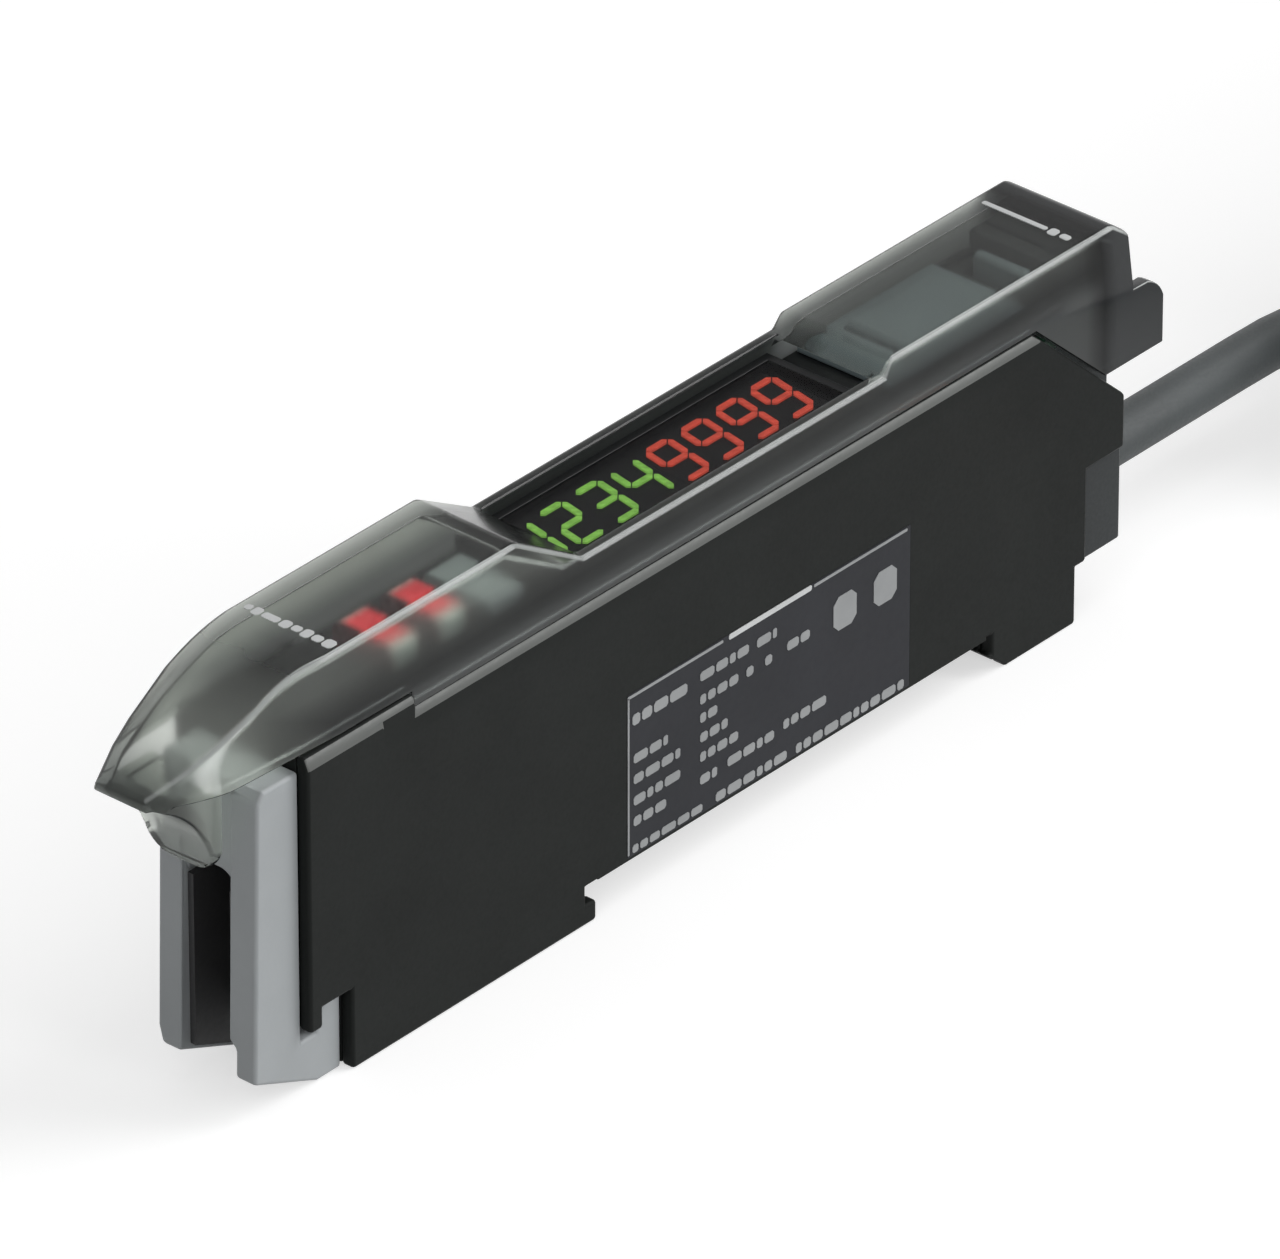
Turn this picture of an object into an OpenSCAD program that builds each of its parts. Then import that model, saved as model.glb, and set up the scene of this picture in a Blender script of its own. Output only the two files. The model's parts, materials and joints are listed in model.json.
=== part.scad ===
// Slim rail-mounted amplifier for a laser sensor head, in millimetres.
// X runs from the sensor plug at the front to the cable at the rear, Y across, Z up.
// Lengths along X are counted from the front face of the black housing.
// The whole part is then moved so that its origin is under the middle of its box.

/* [Housing] */
// Width of the housing across its two sides
body_w = 9.8; // [9.4:0.1:11]
// Thickness of each side wall
side_t = 0.9; // [0.7:0.05:1]
// Thickness of the floor and the front wall
wall = 1; // [0.8:0.1:1.2]
// Length of the housing from its front face to its rear face
body_l = 69.6; // [69.2:0.1:72]
// Height of the ledge that the dust cover stands on
ledge_z = 20.6; // [20:0.1:21.5]
// Rise of the shoulder at the front of the ledge
brow_h = 0.8; // [0.5:0.1:1]
// Length of that shoulder
brow_l = 8.9; // [7:0.1:9.5]
// Height of the bevel under the ledge
bevel_h = 1.7; // [1:0.1:2.5]
// Depth of that bevel
bevel_d = 0.1; // [0.05:0.05:0.15]
// Distance from the front face to the start of the bevel
bevel_x = 6.2; // [5:0.1:8]
// Height of the steeper edge along the ledge and the shoulder
edge_h = 0.7; // [0.4:0.1:1]
// Depth of that edge
edge_d = 0.3; // [0.2:0.05:0.35]

/* [Rail notch] */
// Width of the notch for a 35 mm rail
rail_gap = 35.4; // [35.2:0.1:36]
// Depth of the notch
rail_h = 2.5; // [2.3:0.1:3]
// Depth of the undercut behind the fixed lip
lip_d = 0.9; // [0.5:0.1:1.2]
// Height of the fixed lip
lip_h = 1.3; // [1:0.1:1.4]
// Width of the rail that the notch holds
rail_w = 35; // [34.8:0.1:35.2]
// Play of the rail along the housing
rail_play = 0.2; // [0.1:0.05:0.3]
// Depth of the relief above the lip and the claw
relief = 0.1; // [0.05:0.05:0.2]
// Reach of the rear claw under the rail
claw_d = 0.4; // [0.2:0.05:0.6]
// Length of the rear foot
foot_rear_l = 6.3; // [5.5:0.1:6.8]
// Step from the rear foot's end to the lower part's rear face
heel_set = 0.9; // [0.5:0.1:1.2]
// Distance from the housing's rear face to the lower part's rear face
lower_set = 3.3; // [3:0.1:3.6]

/* [Front frame] */
// Reach of the frame in front of the housing
frame_l = 3.8; // [3:0.1:4.2]
// Step from the housing's near side to the frame's near side
frame_set = 0.7; // [0.4:0.1:1]
// Width of the frame
frame_w = 7.2; // [7:0.1:8]
// Height of the frame's top
frame_z = 20.5; // [20:0.05:20.8]
// Backward lean of the frame's front over its height
frame_lean = 0.45; // [0:0.05:0.6]
// Thickness of the near leg
leg_t = 2; // [1.8:0.1:2.4]
// Width of the plug slot
slot_w = 3.5; // [3:0.1:3.8]
// Height of the top of the plug slot
slot_z = 14.5; // [13.5:0.1:15.5]
// Radius of the slot's upper corners
slot_r = 1.2; // [0.6:0.1:1.4]
// Widening of the slot near its open lower end
slot_lead = 0.5; // [0.3:0.1:0.7]
// Height of the frame's lower front corner
frame_rise = 2.1; // [1.5:0.1:2.6]
// Length of the frame's sloping underside
frame_slope_l = 5.1; // [4:0.1:6]
// Height of the hook's floor
hook_floor = 3.1; // [2.6:0.1:3.3]
// Height of the hook's tooth
hook_z = 4.9; // [4.4:0.1:5.2]
// Length of the hook's tooth
tooth_l = 2; // [1.2:0.1:2.2]
// Clearance round the hook
hook_gap = 0.2; // [0.1:0.05:0.3]
// Height of the housing's notch above the hook's tooth
hook_head = 0.3; // [0.2:0.05:0.5]
// Length of the housing's lip that the hook grips
grip_l = 1; // [0.8:0.1:1.4]
// Height of that lip's lower end
grip_z = 3.9; // [3.4:0.1:4.2]

/* [Dust cover] */
// Wall thickness of the cover
cover_t = 0.8; // [0.6:0.05:0.9]
// Width of the cover at its lower edge
cover_w = 9.2; // [9:0.05:9.3]
// Inward lean of each side over the height of the front hood
cover_lean = 0.85; // [0.5:0.05:0.9]
// Gap between the cover's lower edge and the ledge
cover_gap = 0.1; // [0.05:0.05:0.2]
// Height of the front hood
hood_z = 26.3; // [25.8:0.1:27]
// Distance from the front face to the hood's crest
crest_x = 2.1; // [1:0.1:4]
// Radius of the bend at the crest
nose_r = 10; // [6:0.5:14]
// Slope of the nose
nose_a = 22.6; // [20:0.2:25]
// Reach of the nose in front of the housing
nose_reach = 9.7; // [9:0.1:10.2]
// Width of the nose at its tip
tip_w = 4.4; // [4:0.1:5]
// Length of the slanted front corners of the nose
tip_l = 3.8; // [3:0.1:4.5]
// Height of the visor's lower face
visor_z = 21.2; // [21:0.1:21.4]
// Distance from the front face to the rear end of the hood's flat roof
hood_l = 18.4; // [17:0.1:19]
// Distance from the front face to the foot of the hood's ramp
ramp_x = 23.5; // [22.8:0.1:24.5]
// Height of the rails beside the display
rail_z = 23.3; // [23.1:0.1:23.6]
// Gap between the display frame and the rear hood
rear_gap = 0.3; // [0.1:0.05:0.5]
// Length of the rear hood's sloping front
rear_slope = 1.5; // [1:0.1:2]
// Height of the rear hood
rear_z = 24.2; // [23.9:0.1:24.6]
// Length of the rear hood's cut rear edge
rear_cut_l = 1.3; // [0.8:0.1:1.6]
// Height of that cut
rear_cut_h = 1; // [0.6:0.1:1.2]
// Lowest point of the rear hood's sloping front
rear_low = 21.9; // [21.7:0.1:22.2]
// Width of the chin under the nose
chin_w = 5; // [4.6:0.1:6]
// Lowest point of the chin
chin_z = 15.4; // [15:0.1:16.5]
// Radius of the chin's hollow face
chin_r = 8; // [7.5:0.1:9]
// Distance from the tip of the nose to the middle of that face
chin_x = 3; // [2.8:0.1:3.4]
// Height of the middle of that face
chin_mid_z = 14.2; // [13.8:0.1:14.5]

/* [Hinge] */
// Distance from the housing's rear face to the rear wall of the cover
ear_set = 1; // [0.7:0.1:1.2]
// Distance from the housing's rear face to the hinge axis
hinge_set = 1.4; // [1.2:0.05:1.6]
// Height of the hinge axis
hinge_z = 17.3; // [17:0.1:17.8]
// Radius of the hinge pins
pin_r = 0.95; // [0.7:0.05:1.1]
// Length of each pin inside its ear
pin_l = 0.4; // [0.3:0.05:0.45]
// Radial running clearance at the hinge pins
pin_gap = 0.05; // [0.03:0.01:0.08]
// Half height of the cover's ears
ear_r = 2.3; // [2:0.1:2.5]
// Corner radius of the ears above the hinge axis
ear_corner = 2.45; // [2.4:0.05:3]
// Distance from the hinge axis to the housing's cut corner
corner_r = 3.9; // [3.7:0.1:4.1]
// Slope of the housing's cut corner
corner_a = 42.3; // [38:0.1:46]
// Gap between the cover's ears and the housing's cut corner
corner_gap = 0.3; // [0.2:0.05:0.4]
// Radius of the lug between the ears
lug_r = 1.7; // [1.4:0.1:1.9]
// Gap on each side between the cover and the parts inside it
ear_gap = 0.35; // [0.25:0.05:0.5]

/* [Deck and display] */
// Height of the deck's top face
deck_z = 21.5; // [21.3:0.05:21.6]
// Thickness of the deck's skin
deck_t = 0.9; // [0.7:0.05:1]
// Height of the deck's lower edge
deck_low = 19.5; // [19.3:0.05:19.7]
// Distance from the rear end of the deck to the housing's rear face
deck_back = 4.3; // [4.2:0.1:4.6]
// Distance from the front face to the display frame
disp_x = 21.4; // [21.2:0.1:21.8]
// Gap between the display frame and the key bezel
bezel_gap = 2.4; // [2.2:0.1:2.8]
// Height of the display frame
disp_z = 22.5; // [22.2:0.05:22.6]
// Width of the display frame's border
disp_rim = 0.6; // [0.4:0.05:0.8]
// Thickness of the display window
window_t = 0.35; // [0.25:0.05:0.5]
// Clearance round the window
window_gap = 0.05; // [0.03:0.01:0.1]
// Distance from the display frame's rim to the first display block
digits_front = 0.81; // [0.6:0.01:0.9]
// Distance from the last display block to the display frame's rim
digits_rear = 0.65; // [0.5:0.01:0.8]
// Width of a digit as a share of the pitch
digit_share = 0.62; // [0.55:0.01:0.68]
// Height of a digit
digit_h = 3.7; // [3.3:0.05:4]
// Slant of the digits
digit_slant = 11; // [0:1:14]
// Width of a segment
seg_w = 0.42; // [0.3:0.02:0.5]
// Thickness of a segment
seg_t = 0.12; // [0.08:0.01:0.15]
// Width of each display block
led_w = 5.6; // [5:0.1:5.7]

/* [Lamps and keys] */
// Distance from the front face to the first lamp
lamp_x = 11; // [9:0.1:11.5]
// Pitch of the two lamps
lamp_pitch = 3.9; // [3.6:0.1:4.1]
// Length of a lamp along the housing
lamp_l = 2.4; // [2:0.1:2.6]
// Width of a lamp across the housing
lamp_w = 4.2; // [3.6:0.1:4.6]
// Height of the lamps' tops
lamp_z = 22.9; // [22.4:0.1:23.4]
// Clearance round lamps and keys
key_gap = 0.15; // [0.1:0.05:0.2]
// Distance from the front face to the middle of the set key
set_x = 19; // [18.8:0.1:19.2]
// Length of the set key
set_l = 2.8; // [2.4:0.1:3]
// Width of the set key
set_w = 4.8; // [4:0.1:5]
// Height of the set key's top
set_z = 22.3; // [22:0.1:22.6]
// Travel of the keys until they meet their switches
press = 0.25; // [0.2:0.05:0.35]
// Distance from the rocker's pivot to the rear end of the deck
rocker_back = 8; // [7.8:0.1:8.3]
// Length of the rocker
rocker_l = 7.8; // [7:0.1:8]
// Width of the rocker
rocker_w = 4.6; // [4:0.1:4.7]
// Height of the rocker's two ends
rocker_z = 22.35; // [22.1:0.05:22.5]
// Dip in the middle of the rocker
rocker_dip = 0.25; // [0.1:0.05:0.35]
// Radius of the rocker's stub axles
axle_r = 0.45; // [0.35:0.05:0.5]
// Radial running clearance of the rocker's axles
axle_gap = 0.05; // [0.03:0.01:0.08]
// Height of the rocker's axle
axle_z = 20.75; // [20.6:0.05:20.9]
// Length of the key bezel
bezel_l = 11.8; // [11.4:0.1:12]
// Distance from the front end of the key bezel to the rocker's pivot
bezel_front = 7; // [6.8:0.1:7.2]
// Width of the key bezel
bezel_w = 6.6; // [6.2:0.1:6.8]
// Thickness of the key bezel
bezel_t = 0.4; // [0.3:0.05:0.5]
// Distance from the middle of the slide switch to the rear end of the deck
slide_back = 1.35; // [1.3:0.05:1.4]
// Length of the slide switch
slide_l = 2.5; // [2.3:0.1:2.6]
// Width of the slide switch
slide_w = 5.4; // [4.8:0.1:5.6]
// Width of the slide knob
knob_w = 3.6; // [3:0.1:4]
// Length of the slide knob
knob_l = 0.85; // [0.7:0.05:0.9]
// Height of the slide knob's top
knob_z = 22.3; // [22:0.1:22.6]
// Travel of the slide knob
knob_travel = 0.8; // [0.6:0.1:0.8]

/* [Boards] */
// Thickness of both circuit boards
board_t = 0.8; // [0.6:0.1:1]
// Height of the display board's upper face
board_z = 18.6; // [18.4:0.1:18.8]
// Width of the display board
board_w = 6.8; // [6:0.1:6.9]
// Height of the switches on the display board
switch_h = 1; // [0.8:0.1:1]
// Length of such a switch
switch_l = 2.6; // [2.4:0.1:2.8]
// Width of such a switch
switch_w = 3.2; // [3:0.1:3.4]
// Distance from the rocker's pivot to each of its two switches
switch_set = 2.6; // [2.5:0.1:2.8]
// Distance from the main board to the rear block
main_end = 0.5; // [0.4:0.1:1]
// Distance from the front face to the main board
main_x = 10.5; // [10:0.5:11.5]
// Height of the main board's lower edge
main_z = 4.3; // [4:0.1:4.6]
// Distance from the far wall to the main board
stand_off = 2; // [1.5:0.1:2.4]
// Radius of the locating pegs
peg_r = 0.7; // [0.6:0.05:0.8]
// Radial clearance of the pegs
peg_gap = 0.05; // [0.03:0.01:0.1]
// Wall round each peg's socket
boss_t = 0.7; // [0.5:0.1:0.8]
// Distance from the main board's front end to the first peg
peg_front = 3.5; // [3:0.1:4]
// Distance from the last peg to the main board's rear end
peg_rear = 6; // [5:0.1:7]
// Height of the first peg above the main board's lower edge
peg_low = 3.7; // [3.4:0.1:4]
// Height of the other pegs above that edge
peg_high = 9.5; // [9.3:0.1:10]
// Distance from the main board's front end to the board header
header_x = 12; // [10:0.5:14]
// Length of the board header
header_l = 16; // [14:0.5:18]
// Thickness of the board header
header_t = 2.4; // [2:0.1:2.6]
// Depth of the board header on the main board
header_h = 2; // [1.5:0.1:2.4]
// Side of the processor
chip_s = 7; // [6:0.1:7]
// Thickness of the two chips
chip_t = 1.1; // [0.9:0.1:1.4]
// Distance from the main board's front end to the processor
chip_x = 28; // [27:0.5:30]
// Distance from the board's lower edge to the processor and the capacitors
chip_z = 1; // [0.8:0.1:1.2]
// Length of the analog chip
analog_l = 5; // [4:0.1:5]
// Height of the analog chip
analog_h = 4; // [3.6:0.1:4.4]
// Distance from the main board's front end to the analog chip
analog_x = 8; // [7:0.1:8.5]
// Distance from the main board's front end to the first capacitor and the coil
supply_x = 17; // [16:0.5:17.5]
// Length of a capacitor
cap_l = 3.5; // [3:0.1:4]
// Height of a capacitor
cap_h = 2.8; // [2.4:0.1:3]
// Pitch of the capacitors
cap_pitch = 5; // [4.5:0.1:5.5]
// Side of the coil
choke_s = 4; // [3.4:0.1:4.2]
// Thickness of the capacitors and the coil
choke_t = 2.3; // [2:0.1:2.6]

/* [Sensor socket] */
// Length of the socket inside the housing
socket_l = 8; // [7:0.1:8.6]
// Height of the socket
socket_h = 6.9; // [6:0.1:6.9]
// Wall of the socket
socket_t = 0.5; // [0.4:0.05:0.6]
// Thickness of the black lining between the legs
lining_t = 0.4; // [0.3:0.05:0.5]
// Reach of that lining in front of the housing
lining_l = 3; // [2:0.1:3.2]
// Depth of the socket's pocket
pocket_d = 6.4; // [5:0.1:6.8]
// Number of contacts
contact_n = 6; // [4:1:7]
// Side of a contact
contact_s = 0.5; // [0.4:0.05:0.6]
// Length of a contact
contact_l = 4.4; // [3.5:0.1:4.8]

/* [Cable] */
// Diameter of the cable
cable_d = 3.2; // [3:0.1:3.4]
// Height of the cable's axis where it leaves the housing
cable_z = 6.2; // [6:0.1:6.6]
// Wall of the rubber grommet
grommet_t = 0.7; // [0.5:0.1:0.9]
// Length of the rear block inside the housing
block_l = 7.6; // [7.4:0.1:8]
// Length of the connector that the cable ends in
connector_l = 5; // [4:0.1:5.5]
// Side of that connector
connector_s = 3.8; // [3.4:0.1:4]
// Step from the housing's sides to the rear block's sides
block_set = 0.4; // [0.2:0.05:0.5]
// Height of the rear block's wide lower part
block_z = 9.7; // [9:0.1:10.5]
// Height of the rear block's top
block_top = 22.6; // [22:0.1:22.9]
// Diameter of a core
core_d = 0.8; // [0.7:0.05:0.8]
// Length of a core
core_l = 22; // [16:1:30]
// Bared length at a core's end
strip_l = 5; // [3:0.5:7]

/* [Label] */
// Length of the label on the near side
label_l = 24.3; // [20:0.1:25]
// Height of the label
label_h = 10.6; // [9:0.1:11]
// Thickness of the label
label_t = 0.12; // [0.08:0.02:0.2]
// Distance from the front face to the label
label_x = 26.3; // [25.5:0.1:28]

/* [Hidden] */
$fn = 48;
eps = 0.01;
far = 100;

half_w = body_w / 2;
inner_w = half_w - side_t;
front_reach = nose_reach;
hinge_x = body_l + hinge_set;
ear_x = body_l + ear_set;
rear_reach = hinge_x + ear_r;
tip_x = -nose_reach;
mid_x = (rear_reach - front_reach) / 2;

// Stations along the housing
foot_x = grip_l + hook_gap + tooth_l + hook_gap;
lower_back = body_l - lower_set;
rail_x = lower_back - heel_set - foot_rear_l - rail_gap;
rail_end = rail_x + rail_gap;
seat_end = rail_x - lip_d + rail_w + rail_play;
heel_x = rail_end + foot_rear_l;
hook_top = hook_z + hook_head;
lower_back_z = rail_h + wall + 0.2;

// Places along the deck
deck_l = body_l - deck_back;
rocker_x = deck_l - rocker_back;
slide_x = deck_l - slide_back;
bezel_x = rocker_x - bezel_front;
disp_l = bezel_x - bezel_gap - disp_x;
rear_x = disp_x + disp_l + rear_gap;
digit_pitch = (disp_l - 2 * disp_rim - digits_front - digits_rear) / 8;
digit_x = disp_x + disp_rim + digits_front + digit_pitch / 2;
digit_w = digit_share * digit_pitch;

// Insides of the dust cover
cover_half = cover_w / 2;
cover_in = cover_half - cover_t;
core_half = cover_in - ear_gap;
cover_low = ledge_z + cover_gap;
brow_z = ledge_z + brow_h;

// Levels of what the display board carries
switch_z = board_z + switch_h;
seg_z = disp_z - window_t - seg_t;
key_rest = press + 0.05;
key_flange = 0.6;
knob_x = slide_x + slide_l / 2 - 0.4;
axle_half = rocker_w / 2 + 0.5;

// Socket, boards and pegs
slot_y0 = -half_w + frame_set + leg_t;
slot_y1 = slot_y0 + slot_w;
slot_mid = (slot_y0 + slot_y1) / 2;
socket_z = slot_z - 1 - socket_h;
main_y = inner_w - stand_off - board_t;
main_h = board_z - board_t - 0.6 - main_z;
block_x = body_l - block_l;
main_l = block_x - main_end - main_x;
pegs = [[main_x + peg_front, main_z + peg_low], [main_x + main_l / 2, main_z + peg_high],
    [main_x + main_l - peg_rear, main_z + peg_high]];

// Colours as the photograph shows them
black = [0.14, 0.145, 0.145];
frame_grey = [0.64, 0.66, 0.67];
smoke = [0.42, 0.44, 0.43, 0.5];
block_grey = [0.2, 0.21, 0.21];
board_green = [0.1, 0.3, 0.2];
cable_grey = [0.28, 0.3, 0.31];

// Cable route: distance behind the housing's rear face, and the share of its drop to the floor that is left
cable_lay = [[-7.8, 1], [-4.8, 1], [-1.8, 1], [1.2, 1], [4.2, 1], [7.2, 1], [10.2, 1], [13.2, 1],
    [16.2, 1], [19.2, 0.99], [22.2, 0.925], [25.2, 0.785], [28.2, 0.59], [31.2, 0.38],
    [34.2, 0.195], [37.2, 0.075], [40.2, 0.02]];
cable_r = cable_d / 2;
route = [for (p = cable_lay) [body_l - mid_x + p[0], 0, cable_r + (cable_z - cable_r) * p[1]]];
hank_x = route[len(route) - 1][0];
hank_lanes = 2;
hank_levels = 6;
hank_run = 62;
hank_bore = 2.5 * cable_d;
hank_r = hank_bore + cable_d * hank_lanes;
hank_y = cable_r - hank_r;
hank_h = cable_d * hank_levels;
tail_l = 12;
tail_y = 2 * hank_y;
tie_w = 4;
tie_t = 0.8;
core_pitch = core_d + 0.02;
core_fan = 1.2;

module placed() {
    translate([-mid_x, 0, 0])
        children();
}

// Extrudes a side view, drawn in X and Z, from y0 to y1
module across(y0, y1) {
    translate([0, y1, 0])
        rotate([90, 0, 0])
            linear_extrude(y1 - y0)
                children();
}

// Extrudes a front view, drawn in Y and Z, from x0 to x1
module along(x0, x1) {
    translate([x0, 0, 0])
        rotate([90, 0, 90])
            linear_extrude(x1 - x0)
                children();
}

module block(x0, x1, y0, y1, z0, z1) {
    translate([x0, y0, z0])
        cube([x1 - x0, y1 - y0, z1 - z0]);
}

// A cylinder across the housing
module bar(x, z, r, y0, y1) {
    translate([x, y1, z])
        rotate([90, 0, 0])
            cylinder(h = y1 - y0, r = r);
}

// Everything in front of and under the line that cuts the housing's top rear corner
module before_corner(gap = 0) {
    translate([hinge_x, hinge_z])
        rotate(-corner_a)
            translate([-far, -far])
                square([2 * far, far - (corner_r + gap)]);
}

module side_outline() {
    intersection() {
        polygon([
            [0, grip_z],
            [grip_l, grip_z],
            [grip_l, hook_top],
            [foot_x, hook_top],
            [foot_x, 0],
            [rail_x, 0],
            [rail_x, lip_h],
            [rail_x - lip_d, lip_h],
            [rail_x - lip_d, rail_h + relief],
            [rail_x + relief, rail_h + relief],
            [rail_x + relief, rail_h],
            [seat_end - claw_d - relief, rail_h],
            [seat_end - claw_d - relief, rail_h + relief],
            [seat_end, rail_h + relief],
            [seat_end, lip_h],
            [seat_end - claw_d, lip_h],
            [rail_end - 0.2, 0.3],
            [rail_end, 0],
            [heel_x, 0],
            [heel_x, lower_back_z],
            [lower_back, lower_back_z],
            [lower_back, block_z + 0.1],
            [body_l, block_z + 0.1],
            [body_l, ledge_z],
            [brow_l, ledge_z],
            [brow_l, brow_z],
            [0, brow_z]
        ]);
        before_corner();
    }
}

module case_cavity() {
    polygon([
        [wall, hook_top + wall],
        [foot_x + wall, hook_top + wall],
        [foot_x + wall, wall],
        [rail_x - lip_d - wall, wall],
        [rail_x - lip_d - wall, rail_h + wall],
        [far * 2, rail_h + wall],
        [far * 2, far],
        [wall, far]
    ]);
}

// Wedge that leans in by d over the height h below the level z, and on above it
module wedge(side, z, h, d) {
    polygon([
        [side * half_w, z - h],
        [side * (half_w + 1), z - h],
        [side * (half_w + 1), z + h],
        [side * (half_w - 2 * d), z + h]
    ]);
}

// What bevels the top edges of one side
module bevel(side) {
    along(bevel_x, far * 2)
        wedge(side, ledge_z, bevel_h, bevel_d);
    along(-1, brow_l)
        wedge(side, brow_z, edge_h, edge_d);
    along(brow_l, far * 2)
        wedge(side, ledge_z, edge_h, edge_d);
}

module main_case() {
    placed()
        color(black) {
            difference() {
                across(-inner_w, half_w)
                    side_outline();
                across(-half_w, inner_w)
                    case_cavity();
                bevel(1);
                block(-1, wall + 1, slot_y0, slot_y1, socket_z, socket_z + socket_h);
            }
            for (p = pegs)
                difference() {
                    bar(p[0], p[1], peg_r + peg_gap + boss_t, inner_w - stand_off, inner_w + eps);
                    bar(p[0], p[1], peg_r + peg_gap, inner_w - stand_off - eps, inner_w - 0.2);
                }
        }
}

module side_cover() {
    placed()
        color(black) {
            difference() {
                across(-half_w, -inner_w)
                    side_outline();
                bevel(-1);
                block(label_x, label_x + label_l, -half_w - 1, -half_w + label_t,
                    rail_h + 0.2, rail_h + 0.2 + label_h);
            }
            for (p = pegs)
                bar(p[0], p[1], peg_r, -inner_w - eps, inner_w - 0.4);
        }
}

module rating_label() {
    placed()
        color([0.2, 0.215, 0.24])
            block(label_x, label_x + label_l, -half_w, -half_w + label_t,
                rail_h + 0.2, rail_h + 0.2 + label_h);
}

// Height of the frame's underside at a place in front of the housing
function frame_low(x) = max(0, frame_rise * (1 - (x + frame_l) / frame_slope_l));

// One leg's side view, with the hook that grips the housing's lip
module leg_outline() {
    hook_x = grip_l + hook_gap;
    polygon([
        [-frame_l, frame_rise],
        [-frame_l + frame_slope_l, 0],
        [hook_x + tooth_l, 0],
        [hook_x + tooth_l, hook_z],
        [hook_x + 0.4, hook_z - 0.3],
        [hook_x, hook_z - 1],
        [hook_x, hook_floor],
        [0, hook_floor],
        [0, frame_z],
        [-frame_l + frame_lean + 0.5, frame_z],
        [-frame_l + frame_lean, frame_z - 0.7]
    ]);
}

module front_frame() {
    y0 = -half_w + frame_set;
    y1 = y0 + frame_w;
    placed()
        color(frame_grey)
            difference() {
                union() {
                    across(y0, slot_y0)
                        leg_outline();
                    across(slot_y1, y1)
                        leg_outline();
                    // Crossbar, set back behind the chin
                    block(-frame_l + frame_lean + 0.3, 0, slot_y0 - eps, slot_y1 + eps, slot_z, frame_z);
                    // Rounded upper corners of the slot
                    for (c = [[slot_y0, 1], [slot_y1, -1]])
                        along(-frame_l + frame_lean + 0.3, 0)
                            difference() {
                                translate([c[0] + c[1] * (slot_r - eps) / 2, slot_z - slot_r / 2 + eps])
                                    square(slot_r + eps, center = true);
                                translate([c[0] + c[1] * slot_r, slot_z - slot_r])
                                    circle(slot_r);
                            }
                }
                // Wider mouth at the near leg's lower end
                translate([0, slot_y0, 0])
                    along(-frame_l - 1, far)
                        polygon([
                            [1, -1],
                            [-slot_lead, -1],
                            [-slot_lead, frame_rise + 1.7],
                            [0, frame_rise + 1.7 + slot_lead],
                            [1, frame_rise + 1.7 + slot_lead]
                        ]);
                // Rounded lower outer corner of the far leg
                translate([0, y1, 0])
                    along(-frame_l - 1, far)
                        polygon([[0.1, 0], [-0.9, 0], [0.1, frame_rise + 1.4]]);
            }
}

// A cylinder along the housing
module bar_along(x0, x1, y, z, r) {
    translate([x0, y, z])
        rotate([0, 90, 0])
            cylinder(h = x1 - x0, r = r);
}

// Black lining of the slot between the legs
module lining() {
    y0 = slot_y0 + 0.02;
    y1 = slot_y1 - 0.02;
    for (side = [[y0, 2.8], [y1 - lining_t, 0.5]])
        across(side[0], side[0] + lining_t)
            polygon([
                [-lining_l, frame_low(-lining_l) + side[1]],
                [0, frame_low(0) + side[1]],
                [0, slot_z - slot_r],
                [-lining_l, slot_z - slot_r]
            ]);
}

module sensor_socket() {
    y0 = slot_y0 + 0.05;
    y1 = slot_y1 - 0.05;
    z0 = socket_z + 0.05;
    z1 = socket_z + socket_h - 0.05;
    placed()
        color([0.08, 0.08, 0.085])
            difference() {
                union() {
                    lining();
                    block(0, socket_l, y0, y1, z0, z1);
                    block(wall, wall + 0.8, y0 - 0.6, y1 + 0.6, z0 - 0.4, z1 + 0.6);
                }
                block(-eps, pocket_d, y0 + socket_t, y1 - socket_t, z0 + socket_t, z1 - socket_t);
                for (i = [0 : contact_n - 1])
                    contact(i, 0);
            }
}

module contact(i, y_grow) {
    pitch = (socket_h - 2.4) / (contact_n - 1);
    z = socket_z + 1.2 + i * pitch;
    block(pocket_d - contact_l + 1.2, socket_l + 1.2, slot_mid - contact_s / 2 - y_grow,
        slot_mid + contact_s / 2 + y_grow, z - contact_s / 2, z + contact_s / 2);
}

module socket_contacts() {
    placed()
        color([0.85, 0.68, 0.3])
            for (i = [0 : contact_n - 1])
                contact(i, 0);
}

module rear_block() {
    side = inner_w - 0.05;
    bore = cable_d / 2 + grommet_t;
    placed()
        color(block_grey)
            difference() {
                union() {
                    across(-side, side)
                        intersection() {
                            polygon([
                                [block_x, rail_h + wall],
                                [body_l + 0.2, rail_h + wall],
                                [body_l + 0.2, hinge_z - 3],
                                [block_x, hinge_z - 3]
                            ]);
                            before_corner(0.1);
                        }
                    across(-half_w + block_set, half_w - block_set)
                        polygon([
                            [lower_back + 0.1, rail_h + wall],
                            [body_l + 0.2, rail_h + wall],
                            [body_l + 0.2, block_z],
                            [lower_back + 0.1, block_z]
                        ]);
                    across(-core_half, core_half)
                        polygon([
                            [block_x, block_z],
                            [body_l + 0.2, block_z],
                            [body_l + 0.2, hinge_z + 1.7],
                            [body_l - 0.6, hinge_z + 2.4],
                            [body_l - 0.6, block_top - 0.5],
                            [body_l - 1.1, block_top],
                            [deck_l + 0.2, block_top],
                            [deck_l + 0.2, board_z - board_t - 0.1],
                            [block_x, board_z - board_t - 0.1]
                        ]);
                    bar(hinge_x, hinge_z, lug_r, -core_half, core_half);
                    bar(hinge_x, hinge_z, pin_r, -cover_in - pin_l, cover_in + pin_l);
                }
                bar_along(block_x - 1, body_l + 1, 0, cable_z, bore);
            }
}

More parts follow.
